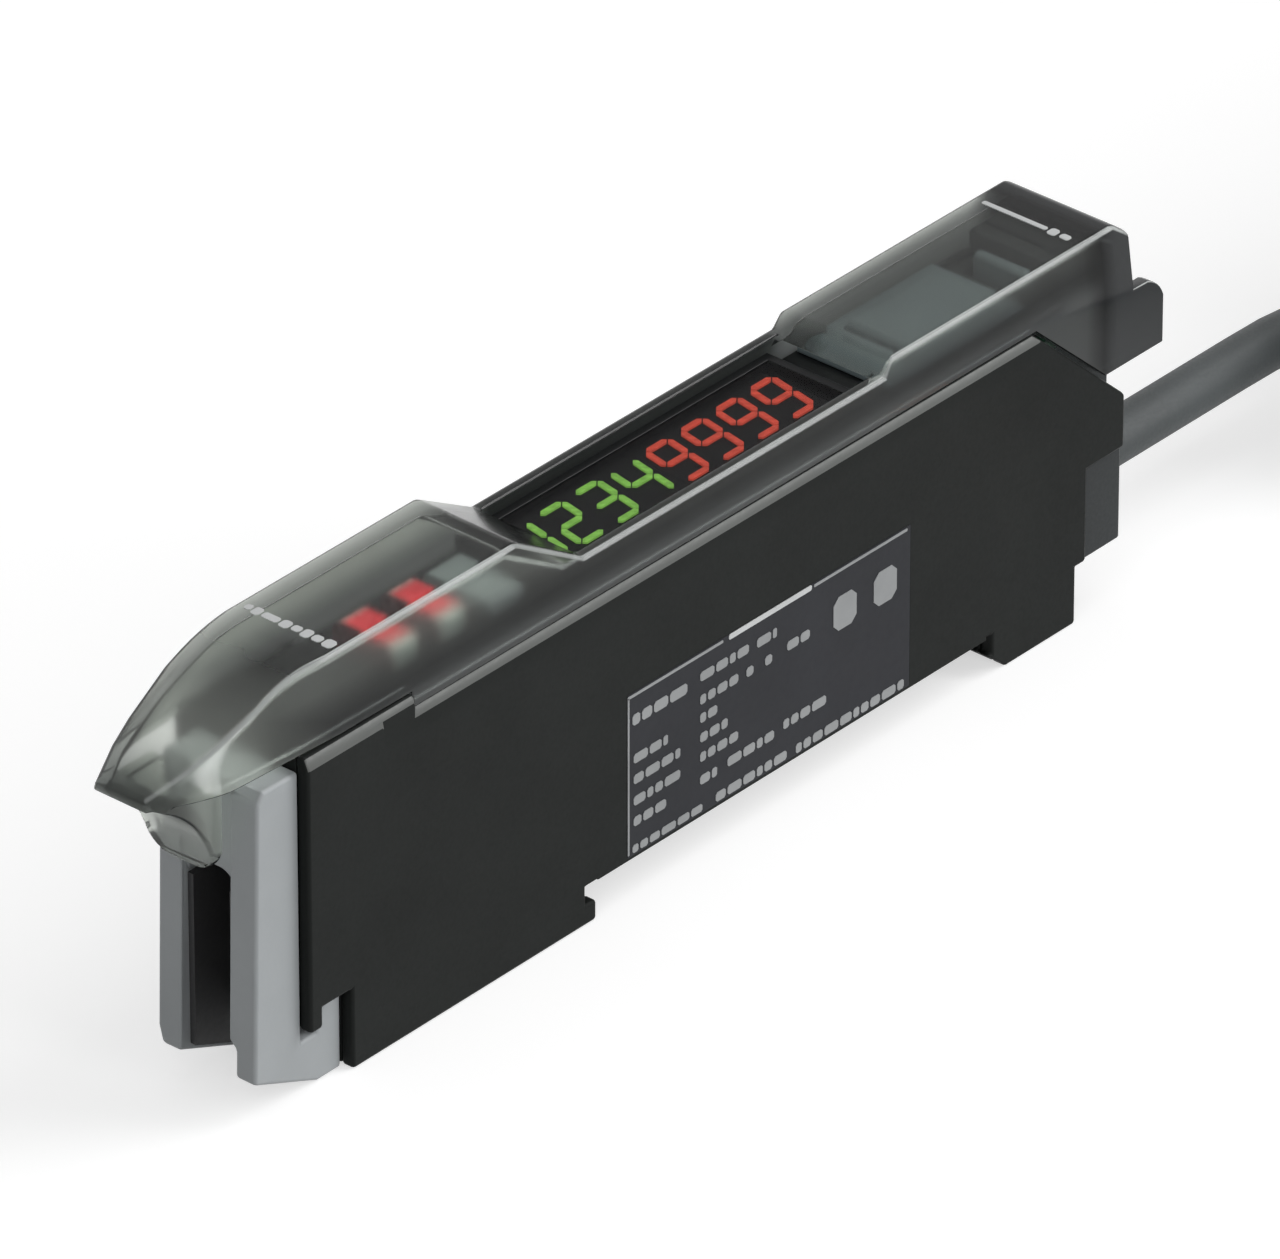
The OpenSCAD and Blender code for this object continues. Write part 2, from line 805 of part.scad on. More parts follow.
module cable_grommet() {
    r = cable_d / 2;
    placed()
        color([0.1, 0.1, 0.1])
            difference() {
                union() {
                    bar_along(block_x + 1.5, body_l + 0.5, 0, cable_z, r + grommet_t);
                    bar_along(body_l + 0.2, body_l + 0.7, 0, cable_z, r + grommet_t + 0.4);
                }
                bar_along(block_x, body_l + 2, 0, cable_z, r);
            }
}

module lamp_hole(x) {
    block(x - lamp_l / 2 - key_gap, x + lamp_l / 2 + key_gap,
        -lamp_w / 2 - key_gap, lamp_w / 2 + key_gap, deck_low - 1, deck_z + 1);
}

module top_deck() {
    key_x0 = rocker_x - rocker_l / 2 - key_gap;
    key_x1 = rocker_x + rocker_l / 2 + key_gap;
    key_y = rocker_w / 2 + key_gap;
    inside = core_half - 0.6;
    flange_end = block_x - 1;
    placed()
        color(black)
            difference() {
                union() {
                    block(wall, flange_end, -inner_w, inner_w, deck_low, ledge_z - 0.1);
                    block(wall, deck_l, -core_half, core_half, deck_low, deck_z);
                    block(disp_x, disp_x + disp_l, -core_half, core_half, deck_z - eps, disp_z);
                }
                // Blind bores of the rocker's axles
                bar(rocker_x, axle_z, axle_r + axle_gap, -inside, inside);
                // Hollow under the skin, between the display and the keys
                block(wall + 1, disp_x, -inside, inside, deck_low - 1, deck_z - deck_t);
                block(disp_x + disp_l + 0.6, deck_l - 0.7, -inside, inside, deck_low - 1, deck_z - deck_t);
                // Seat of the display blocks and of the window above them
                block(disp_x + disp_rim, disp_x + disp_l - disp_rim, -core_half + disp_rim,
                    core_half - disp_rim, deck_low - 1, disp_z + 1);
                for (i = [0, 1])
                    lamp_hole(lamp_x + i * lamp_pitch);
                block(set_x - set_l / 2 - key_gap, set_x + set_l / 2 + key_gap,
                    -set_w / 2 - key_gap, set_w / 2 + key_gap, deck_low, deck_z + 1);
                block(key_x0, key_x1, -key_y, key_y, deck_low - 1, deck_z + 1);
                block(slide_x - slide_l / 2 - 0.05, slide_x + slide_l / 2 + 0.05,
                    -slide_w / 2 - 0.05, slide_w / 2 + 0.05, deck_low - 1, deck_z + 1);
            }
    // Bosses that carry the rocker's axles
    placed()
        color(black)
            for (s = [-1, 1])
                difference() {
                    block(rocker_x - 1.2, rocker_x + 1.2, s < 0 ? -inside - eps : key_y,
                        s < 0 ? -key_y : inside + eps, deck_low, deck_z - deck_t + eps);
                    bar(rocker_x, axle_z, axle_r + axle_gap, -inside, inside);
                }
}

module display_window() {
    inset = disp_rim + window_gap;
    placed()
        color([0.1, 0.1, 0.11, 0.35])
            block(disp_x + inset, disp_x + disp_l - inset, -core_half + inset, core_half - inset,
                disp_z - window_t, disp_z);
}

// A block of four digits, with its first digit at the given place
module display_block(first) {
    x0 = digit_x + (first - 0.5) * digit_pitch + 0.02;
    x1 = x0 + 4 * digit_pitch - 0.04;
    block(x0, x1, -led_w / 2, led_w / 2, board_z, seg_z);
}

module display_block_green() {
    placed()
        color([0.16, 0.16, 0.17])
            display_block(0);
}

module display_block_red() {
    placed()
        color([0.16, 0.16, 0.17])
            display_block(4);
}

// Segments are numbered clockwise from the top, and the middle one is last
function lit(digit) =
    digit == 1 ? [1, 2] :
    digit == 2 ? [0, 1, 6, 4, 3] :
    digit == 3 ? [0, 1, 6, 2, 3] :
    digit == 4 ? [5, 6, 1, 2] :
    [0, 1, 2, 3, 5, 6];

module bar_segment(length) {
    e = seg_w / 2;
    h = length / 2 - 0.06;
    polygon([[-h, 0], [-h + e, e], [h - e, e], [h, 0], [h - e, -e], [-h + e, -e]]);
}

module segment(i) {
    h = digit_h / 2;
    places = [[0, h, 0], [digit_w / 2, h / 2, 90], [digit_w / 2, -h / 2, 90], [0, -h, 0],
        [-digit_w / 2, -h / 2, 90], [-digit_w / 2, h / 2, 90], [0, 0, 0]];
    p = places[i];
    translate([p[0], p[1]])
        rotate(p[2])
            bar_segment(p[2] == 0 ? digit_w : h);
}

module digits(values, first) {
    slant = tan(digit_slant);
    for (k = [0 : len(values) - 1])
        translate([digit_x + (first + k) * digit_pitch, 0, seg_z])
            linear_extrude(seg_t)
                for (i = lit(values[k]))
                    multmatrix([[1, slant, 0, 0], [0, 1, 0, 0], [0, 0, 1, 0], [0, 0, 0, 1]])
                        segment(i);
}

module green_digits() {
    placed()
        color([0.5, 0.85, 0.3])
            digits([1, 2, 3, 4], 0);
}

module red_digits() {
    placed()
        color([0.9, 0.3, 0.2])
            digits([9, 9, 9, 9], 4);
}

module lamp(x) {
    r = 0.6;
    placed()
        color([0.8, 0.12, 0.16])
            union() {
                along(x - lamp_l / 2, x + lamp_l / 2) {
                    translate([-lamp_w / 2, deck_low])
                        square([lamp_w, lamp_z - r - deck_low]);
                    translate([-lamp_w / 2 + r, lamp_z - r - eps])
                        square([lamp_w - 2 * r, r + eps]);
                    for (s = [-1, 1])
                        translate([s * (lamp_w / 2 - r), lamp_z - r])
                            circle(r);
                }
                block(x - 0.8, x + 0.8, -1.5, 1.5, board_z, deck_low + eps);
            }
}

module output_lamp_front() {
    lamp(lamp_x);
}

module output_lamp_rear() {
    lamp(lamp_x + lamp_pitch);
}

module set_key() {
    skin = deck_z - deck_t;
    placed()
        color([0.45, 0.5, 0.52]) {
            along(set_x - set_l / 2, set_x + set_l / 2)
                polygon([
                    [-set_w / 2, skin - key_flange],
                    [set_w / 2, skin - key_flange],
                    [set_w / 2, set_z - 0.3],
                    [set_w / 2 - 0.3, set_z],
                    [-set_w / 2 + 0.3, set_z],
                    [-set_w / 2, set_z - 0.3]
                ]);
            block(set_x - set_l / 2, set_x + set_l / 2, -core_half + 0.7, core_half - 0.7,
                skin - key_flange, skin);
            block(set_x - 0.8, set_x + 0.8, -0.8, 0.8, switch_z + key_rest, skin);
        }
}

module key_bezel() {
    gap = key_gap;
    placed()
        color([0.46, 0.51, 0.54])
            difference() {
                block(bezel_x, bezel_x + bezel_l, -bezel_w / 2, bezel_w / 2, deck_z, deck_z + bezel_t);
                block(rocker_x - rocker_l / 2 - gap, rocker_x + rocker_l / 2 + gap,
                    -rocker_w / 2 - gap, rocker_w / 2 + gap, deck_z - 1, deck_z + 1);
            }
}

module rocker_key() {
    h = rocker_l / 2;
    low = switch_z + key_rest + 0.25;
    placed()
        color([0.36, 0.41, 0.44]) {
            across(-rocker_w / 2, rocker_w / 2)
                translate([rocker_x, 0])
                    polygon([
                        [-h, low + 0.3],
                        [-h + 0.5, low],
                        [h - 0.5, low],
                        [h, low + 0.3],
                        [h, rocker_z - 0.25],
                        [h - 0.3, rocker_z],
                        [0.9, rocker_z - rocker_dip],
                        [-0.9, rocker_z - rocker_dip],
                        [-h + 0.3, rocker_z],
                        [-h, rocker_z - 0.25]
                    ]);
            bar(rocker_x, axle_z, axle_r, -axle_half, axle_half);
        }
}

module slide_switch() {
    x0 = slide_x - slide_l / 2;
    placed()
        color([0.07, 0.07, 0.08])
            difference() {
                block(x0, x0 + slide_l, -slide_w / 2, slide_w / 2, board_z, deck_z - 0.1);
                block(knob_x - knob_l - knob_travel - 0.1, knob_x + 0.1,
                    -knob_w / 2 - 0.1, knob_w / 2 + 0.1, deck_z - 1.4, deck_z + 1);
            }
}

module slide_knob() {
    x1 = knob_x;
    placed()
        color([0.5, 0.53, 0.54])
            across(-knob_w / 2, knob_w / 2)
                polygon([
                    [x1 - knob_l, deck_z - 1.4],
                    [x1, deck_z - 1.4],
                    [x1, knob_z - 0.2],
                    [x1 - 0.2, knob_z],
                    [x1 - knob_l + 0.2, knob_z],
                    [x1 - knob_l, knob_z - 0.2]
                ]);
}

module key_switches() {
    placed()
        color([0.75, 0.76, 0.75])
            for (x = [set_x, rocker_x - switch_set, rocker_x + switch_set]) {
                block(x - switch_l / 2, x + switch_l / 2, -switch_w / 2, switch_w / 2,
                    board_z, switch_z - 0.3);
                translate([x, 0, board_z])
                    cylinder(h = switch_h, r = 0.7);
            }
}

module display_board() {
    placed()
        color(board_green)
            block(6, deck_l - 0.1, -board_w / 2, board_w / 2, board_z - board_t, board_z);
}

module main_board() {
    placed()
        color(board_green)
            difference() {
                block(main_x, main_x + main_l, main_y, main_y + board_t, main_z, main_z + main_h);
                for (p = pegs)
                    bar(p[0], p[1], peg_r + 0.15, main_y - 1, main_y + board_t + 1);
            }
}

module board_header() {
    x = main_x + header_x;
    placed()
        color([0.06, 0.06, 0.06])
            block(x, x + header_l, main_y - header_t, main_y,
                main_z + main_h - header_h, board_z - board_t);
}

module processor() {
    placed()
        color([0.05, 0.05, 0.05])
            block(main_x + chip_x, main_x + chip_x + chip_s, main_y - chip_t, main_y,
                main_z + chip_z, main_z + chip_z + chip_s);
}

module analog_chip() {
    placed()
        color([0.05, 0.05, 0.05])
            block(main_x + analog_x, main_x + analog_x + analog_l, main_y - chip_t, main_y,
                main_z + peg_low, main_z + peg_low + analog_h);
}

module capacitors() {
    placed()
        color([0.75, 0.55, 0.2])
            for (i = [0, 1])
                block(main_x + supply_x + cap_pitch * i, main_x + supply_x + cap_pitch * i + cap_l,
                    main_y - choke_t, main_y, main_z + chip_z, main_z + chip_z + cap_h);
}

module power_coil() {
    placed()
        color([0.25, 0.25, 0.27])
            block(main_x + supply_x, main_x + supply_x + choke_s, main_y - choke_t, main_y,
                main_z + 2 * chip_z + cap_h, main_z + 2 * chip_z + cap_h + choke_s);
}

module cable_connector() {
    x1 = route[0][0] + mid_x;
    placed()
        color([0.85, 0.84, 0.78])
            block(x1 - connector_l, x1, main_y - connector_s, main_y,
                cable_z - connector_s / 2, cable_z + connector_s / 2);
}

// Plan of the dust cover from stations of length and half width, shrunk by d
module cover_plan(stations, d) {
    last = len(stations) - 1;
    half = [for (i = [0 : last]) max(0.05, stations[i][1] - (i == 0 ? 0.6 * d : d))];
    place = [for (i = [0 : last]) stations[i][0] + (i == 0 ? d : i == last ? -d : 0)];
    polygon(concat(
        [for (i = [0 : last]) [place[i], -half[i]]],
        [for (i = [last : -1 : 0]) [place[i], half[i]]]
    ));
}

// The cover's body: its sides lean in towards the roof, and most of all along the nose
module cover_loft(d) {
    top_half = cover_half - cover_lean;
    hull() {
        translate([0, 0, chin_z - 1])
            linear_extrude(cover_low - chin_z + 1)
                cover_plan([[tip_x, tip_w / 2], [tip_x + tip_l, cover_half - 0.5],
                    [crest_x, cover_half], [ear_x, cover_half]], d);
        translate([0, 0, hood_z - eps])
            linear_extrude(eps)
                cover_plan([[tip_x, 0.3], [tip_x + 4.4, top_half - 1.7], [tip_x + 8.4, top_half - 0.5],
                    [crest_x + 1, top_half], [ear_x, top_half]], d);
    }
}

// Side view of the nose and the front hood, shrunk by d
module hood_outline(d) {
    slope = (hood_z - rail_z) / (ramp_x - hood_l);
    r = nose_r - d;
    x0 = tip_x + d;
    bend = [crest_x - r * sin(nose_a), hood_z - nose_r + r * cos(nose_a)];
    polygon([
        [x0, visor_z - eps],
        [x0, bend[1] - (bend[0] - x0) * tan(nose_a)],
        bend,
        [crest_x, hood_z - d],
        [hood_l - d / 2.4, hood_z - d],
        [ramp_x, rail_z - d * sqrt(1 + slope * slope)],
        [ramp_x, visor_z - eps]
    ]);
    intersection() {
        translate([crest_x, hood_z - nose_r])
            circle(r, $fn = 96);
        translate([bend[0], bend[1] - eps])
            square([crest_x - bend[0], nose_r]);
    }
}

// Side view of the rear hood, shrunk by d
module rear_outline(d) {
    lean = rear_slope / (rear_z - rear_low);
    x0 = rear_x + d * sqrt(1 + lean * lean);
    polygon([
        [x0 - lean * 3, rear_low - 3],
        [x0, rear_low],
        [x0 + rear_slope - lean * d, rear_z - d],
        [ear_x - rear_cut_l - d / 2, rear_z - d],
        [ear_x - d, rear_z - rear_cut_h - d / 2],
        [ear_x - d, hinge_z - 4],
        [x0 - lean * 3, hinge_z - 4]
    ]);
}

// The cover's outer side view, without its ears and chin
module cover_outline() {
    difference() {
        union() {
            hood_outline(0);
            translate([tip_x, cover_low])
                square([rear_x + 2 - tip_x, visor_z - cover_low]);
            translate([ramp_x - 2, cover_low])
                square([rear_x + 2 - ramp_x + 2, rail_z - cover_low]);
            intersection() {
                rear_outline(0);
                translate([0, cover_low])
                    square([far * 2, far]);
            }
        }
        translate([-far, -1])
            square([far - frame_l - 0.4, visor_z + 1]);
        translate([-far, -1])
            square([far + brow_l + 0.1, brow_z + cover_gap + 1]);
    }
}

// The cover's hollow in side view, and the opening over the display
module cover_hollow() {
    room_z = disp_z + 0.35;
    hood_outline(cover_t);
    translate([-frame_l - 0.4, hinge_z])
        square([ear_x - cover_t + frame_l + 0.4, room_z - hinge_z]);
    rear_outline(cover_t);
    difference() {
        translate([ramp_x, hinge_z])
            square([rear_x + rear_slope - ramp_x, far]);
        rear_outline(0);
    }
}

module ear_outline() {
    intersection() {
        union() {
            intersection() {
                translate([hinge_x - ear_r, hinge_z - ear_r])
                    square(2 * ear_r);
                union() {
                    translate([hinge_x, hinge_z])
                        circle(ear_corner);
                    translate([hinge_x - ear_r, hinge_z - ear_r])
                        square([2 * ear_r, ear_r]);
                }
            }
            polygon([
                [hinge_x - 12, cover_low + eps],
                [ear_x - eps, cover_low + eps],
                [ear_x - eps, hinge_z - ear_r],
                [hinge_x - ear_r, hinge_z - ear_r],
                [hinge_x - 12, hinge_z - ear_r]
            ]);
        }
        translate([hinge_x, hinge_z])
            rotate(-corner_a)
                translate([-far, -(corner_r - corner_gap)])
                    square([2 * far, 2 * far]);
    }
}

// The chin hangs from the tip of the nose; its face is hollowed, and shrinks by d
module chin(d) {
    h = chin_w / 2 - d;
    r = 1.6;
    intersection() {
        cover_loft(d);
        across(-h, h)
            difference() {
                translate([tip_x, chin_z - d])
                    square([-frame_l - 0.4 - tip_x + d, visor_z + (d > 0 ? d : 0.8) - chin_z]);
                translate([tip_x - chin_x, chin_mid_z])
                    circle(chin_r + d, $fn = 96);
            }
        along(tip_x, 0) {
            translate([-h, chin_z + r])
                square([2 * h, far]);
            translate([-h + r, chin_z - d])
                square([2 * (h - r), r + d + eps]);
            for (s = [-1, 1])
                translate([s * (h - r), chin_z + r])
                    circle(r);
        }
    }
}

module dust_cover() {
    placed()
        color(smoke)
            difference() {
                union() {
                    intersection() {
                        cover_loft(0);
                        across(-half_w, half_w)
                            cover_outline();
                    }
                    for (s = [-1, 1])
                        across(s < 0 ? -cover_half : cover_in, s < 0 ? -cover_in : cover_half)
                            ear_outline();
                    chin(0);
                }
                intersection() {
                    cover_loft(cover_t);
                    across(-half_w, half_w)
                        difference() {
                            cover_hollow();
                            translate([-far, -1])
                                square([far - frame_l - 0.4, visor_z + 1 - eps]);
                        }
                }
                chin(cover_t);
                bar(hinge_x, hinge_z, pin_r + pin_gap, -cover_in - pin_l - 0.1, cover_in + pin_l + 0.1);
                // Room between the ears for the lug
                block(hinge_x - 12, far * 2, -cover_in, cover_in, hinge_z - 6, hinge_z + ear_r + 0.6);
            }
}

function unit(v) = v / norm(v);

// Sweeps a polygon along a list of points, with its rings square to the path
module tube(points, r, sides) {
    n = len(points);
    dirs = [for (i = [0 : n - 1]) unit(points[min(i + 1, n - 1)] - points[max(i - 1, 0)])];
    rings = [for (i = [0 : n - 1]) let(s = unit(cross([0, 0, 1], dirs[i])), u = cross(dirs[i], s))
        [for (k = [0 : sides - 1]) let(a = 360 * (k + 0.5) / sides)
            points[i] + r * (cos(a) * s + sin(a) * u)]];
    verts = [for (ring = rings) each ring];
    walls = [for (i = [0 : n - 2]) for (k = [0 : sides - 1])
        [i * sides + k, i * sides + (k + 1) % sides,
            (i + 1) * sides + (k + 1) % sides, (i + 1) * sides + k]];
    first = [for (k = [0 : sides - 1]) sides - 1 - k];
    last = [for (k = [0 : sides - 1]) (n - 1) * sides + k];
    polyhedron(verts, concat(walls, [first], [last]));
}

module cable() {
    color(cable_grey)
        tube(route, cable_d / 2, 8);
}

// A long loop's outline: two half circles and the runs between them
module loop_outline(r) {
    circle(r);
    translate([hank_run, 0])
        circle(r);
    translate([0, -r])
        square([hank_run, 2 * r]);
}

// The spare cable, wound long and narrow, and the stretch that leaves it
module cable_hank() {
    color(cable_grey)
        union() {
            translate([hank_x, hank_y, 0])
                linear_extrude(hank_h)
                    difference() {
                        loop_outline(hank_r);
                        loop_outline(hank_bore);
                    }
            translate([hank_x - tail_l, tail_y, cable_r])
                rotate([0, 90, 0])
                    cylinder(h = tail_l, r = cable_r);
        }
}

module cable_tie() {
    half = tie_t / 2;
    color([0.08, 0.08, 0.08])
        translate([hank_x + hank_run / 2, hank_y, 0])
            along(-tie_w / 2, tie_w / 2)
                difference() {
                    translate([-hank_r - half, 0])
                        square([2 * hank_r + tie_t, hank_h + half]);
                    translate([-hank_r + half, tie_t])
                        square([2 * hank_r - tie_t, hank_h - half - tie_t]);
                }
}

// One of the four cores that leave the cable's sheath, fanned out on the floor
module core(i, shade) {
    x0 = hank_x - tail_l;
    fan = (i - 1.5) * core_fan;
    y = tail_y + (i - 1.5) * core_pitch;
    z = core_d / 2 + 0.02;
    points = [[x0, y, z + 0.3], [x0 - 1, y, z + 0.3], [x0 - 3, y + fan * 0.1, z + 0.1],
        [x0 - 6, y + fan * 0.3, z], [x0 - 10, y + fan * 0.6, z], [x0 - core_l + strip_l, y + fan, z]];
    color(shade)
        tube(points, core_d / 2, 8);
}

module core_brown() {
    core(0, [0.35, 0.2, 0.12]);
}

module core_blue() {
    core(1, [0.1, 0.25, 0.65]);
}

module core_black() {
    core(2, [0.06, 0.06, 0.06]);
}

module core_white() {
    core(3, [0.9, 0.9, 0.88]);
}

module core_tips() {
    color([0.8, 0.5, 0.3])
        for (i = [0 : 3])
            translate([hank_x - tail_l - core_l + strip_l,
                    tail_y + (i - 1.5) * (core_pitch + core_fan), core_d / 2 + 0.02])
                rotate([0, -90, 0])
                    cylinder(h = strip_l, r = core_d * 0.3);
}

main_case();
side_cover();
rating_label();
front_frame();
sensor_socket();
socket_contacts();
rear_block();
cable_grommet();
top_deck();
display_window();
display_block_green();
display_block_red();
green_digits();
red_digits();
output_lamp_front();
output_lamp_rear();
set_key();
key_bezel();
rocker_key();
slide_switch();
slide_knob();
key_switches();
display_board();
main_board();
board_header();
processor();
analog_chip();
capacitors();
power_coil();
cable_connector();
dust_cover();
cable();
cable_hank();
cable_tie();
core_brown();
core_blue();
core_black();
core_white();
core_tips();
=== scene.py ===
import json
import math

import bmesh
import bpy
from mathutils import Matrix, Vector

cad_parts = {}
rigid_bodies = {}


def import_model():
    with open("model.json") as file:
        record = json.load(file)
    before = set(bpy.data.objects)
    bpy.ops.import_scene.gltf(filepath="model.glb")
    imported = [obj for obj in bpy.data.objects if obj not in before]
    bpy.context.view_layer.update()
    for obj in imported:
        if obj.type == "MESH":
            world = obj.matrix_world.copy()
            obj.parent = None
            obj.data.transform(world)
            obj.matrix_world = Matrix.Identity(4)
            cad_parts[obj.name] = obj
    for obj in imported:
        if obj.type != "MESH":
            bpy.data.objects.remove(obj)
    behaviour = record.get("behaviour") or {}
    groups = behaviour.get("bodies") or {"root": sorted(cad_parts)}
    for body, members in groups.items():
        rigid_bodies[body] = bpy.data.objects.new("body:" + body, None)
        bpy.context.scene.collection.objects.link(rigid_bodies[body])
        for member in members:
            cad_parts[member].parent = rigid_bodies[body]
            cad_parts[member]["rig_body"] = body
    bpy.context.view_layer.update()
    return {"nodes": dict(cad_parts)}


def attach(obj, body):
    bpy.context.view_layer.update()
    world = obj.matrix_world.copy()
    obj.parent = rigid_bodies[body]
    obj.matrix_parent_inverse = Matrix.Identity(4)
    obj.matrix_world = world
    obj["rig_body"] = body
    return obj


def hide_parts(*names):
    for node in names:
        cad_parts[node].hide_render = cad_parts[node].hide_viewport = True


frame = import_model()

# The part is a slim rail-mounted amplifier. Lengths are in metres, in the frame of the CAD model.
MM = 0.001
NODES = frame["nodes"]
SCENE = bpy.context.scene

# The camera stands where the photograph was taken from, a long way off with a long lens
CAMERA_PLACE = (-0.5880, -0.50862, 0.48768)
CAMERA_VIEW = (0.64613, 0.55773, -0.52101)
SENSOR_W = 36
LENS = 461.25
NEAR_CLIP = 0.05
FAR_CLIP = 30

# Cable: the same facts and the same route as the CAD source has
CABLE_D = 3.2 * MM
EXIT_Z = 6.2 * MM
REAR_FACE_X = 37.8 * MM
# Its way to the floor: millimetres behind the rear face, and the share of its height that is left
CABLE_LAY = [
    (-7.8, 1), (-4.8, 1), (-1.8, 1), (1.2, 1), (4.2, 1), (7.2, 1), (10.2, 1), (13.2, 1), (16.2, 1),
    (19.2, 0.99), (22.2, 0.925), (25.2, 0.785), (28.2, 0.59), (31.2, 0.38), (34.2, 0.195),
    (37.2, 0.075), (40.2, 0.02),
]
HANK_LANES = 2
HANK_LEVELS = 6
HANK_RUN = 62 * MM
HANK_BORE = 2.5 * CABLE_D
TAIL_L = 12 * MM
RUN_STEPS = 6
BEND_STEPS = 18
TAIL_STEPS = 5


# Camera


def make_camera():
    data = bpy.data.cameras.new("photo_camera")
    data.sensor_width = SENSOR_W
    data.lens = LENS
    data.clip_start = NEAR_CLIP
    data.clip_end = FAR_CLIP
    camera = bpy.data.objects.new("photo_camera", data)
    camera.location = CAMERA_PLACE
    camera.rotation_euler = Vector(CAMERA_VIEW).to_track_quat("-Z", "Y").to_euler()
    SCENE.collection.objects.link(camera)
    SCENE.camera = camera


make_camera()


# Helpers


def link(name, data, body, material):
    piece = bpy.data.objects.new(name, data)
    SCENE.collection.objects.link(piece)
    data.materials.clear()
    data.materials.append(material)
    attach(piece, body)
    return piece


def smooth_step(t):
    t = min(1.0, max(0.0, t))
    return t * t * (3 - 2 * t)


# The cable


def straight_run(start, run):
    """Points along a straight run of the hank, without its two ends."""
    return [start + run * (i / RUN_STEPS) for i in range(1, RUN_STEPS)]


def half_circle(centre, first_turn, reaches, heights):
    """Points clockwise round half a circle. The first turn is in half turns from X.

    The reach from the centre and the height each pass smoothly from one value to another.
    """
    points = []
    for i in range(BEND_STEPS + 1):
        shift = smooth_step(i / BEND_STEPS)
        angle = math.pi * (first_turn - i / BEND_STEPS)
        reach, height = (low + (high - low) * shift for low, high in (reaches, heights))
        points.append(centre + Vector((reach * math.cos(angle), reach * math.sin(angle), height)))
    return points


def cable_points():
    """The route, then the hank's loops, then the cable's end on the floor.

    The hank winds inward on the floor, climbs its inner lane, and comes down its outer one.
    It changes lane on its near half circle, and level on its far one, so no turn meets another.
    """
    r = CABLE_D / 2
    points = [Vector((REAR_FACE_X + x * MM, 0, r + (EXIT_Z - r) * share)) for x, share in CABLE_LAY]
    outer = HANK_BORE + CABLE_D * (HANK_LANES - 0.5)
    run = Vector((HANK_RUN, 0, 0))
    near = Vector((points[-1].x, -outer, 0))
    far = near + run
    last_turn = 2 * HANK_LEVELS - 3
    lane, level = 0, 0
    for turn in range(last_turn + 1):
        radius = outer - lane * CABLE_D
        low = r + level * CABLE_D
        if turn > 0:
            level += 1 if lane else -1
        high = r + level * CABLE_D
        points += straight_run(near + Vector((0, radius, low)), run)
        points += half_circle(far, 0.5, (radius, radius), (low, high))
        points += straight_run(far + Vector((0, -radius, high)), -run)
        if turn == last_turn:
            points.append(near + Vector((0, -radius, high)))
            break
        if turn == 0:
            lane = 1
        elif level == HANK_LEVELS - 1:
            lane = 0
        points += half_circle(near, 1.5, (radius, outer - lane * CABLE_D), (high, high))
    end = points[-1]
    for i in range(1, TAIL_STEPS + 1):
        fall = smooth_step(i / TAIL_STEPS)
        height = end.z + (r - end.z) * fall
        points.append(Vector((end.x - TAIL_L * i / TAIL_STEPS, end.y, height)))
    return points


def make_cable(material):
    points = cable_points()
    curve = bpy.data.curves.new("supply_cable", "CURVE")
    curve.dimensions = "3D"
    curve.bevel_depth = CABLE_D / 2
    curve.bevel_resolution = 4
    curve.use_fill_caps = True
    spline = curve.splines.new("POLY")
    spline.points.add(len(points) - 1)
    for point, place in zip(spline.points, points):
        point.co = (*place, 1)
    spline.use_smooth = True
    cable = link("supply_cable", curve, "base", material)
    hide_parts("cable", "cable_hank")
    length = sum((b - a).length for a, b in zip(points, points[1:]))
    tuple(points[0])


# Materials


def srgb(r, g, b):
    """A colour as it looks on a screen, from 0 to 255, as the linear colour a shader takes."""
    def channel(c):
        c /= 255
        return c / 12.92 if c <= 0.04045 else ((c + 0.055) / 1.055) ** 2.4
    return (channel(r), channel(g), channel(b), 1)


def grey(level):
    """A linear grey."""
    return (level, level, level, 1)


def scaled(colour, share):
    return tuple(min(1, c * share) for c in colour[:3]) + (1,)


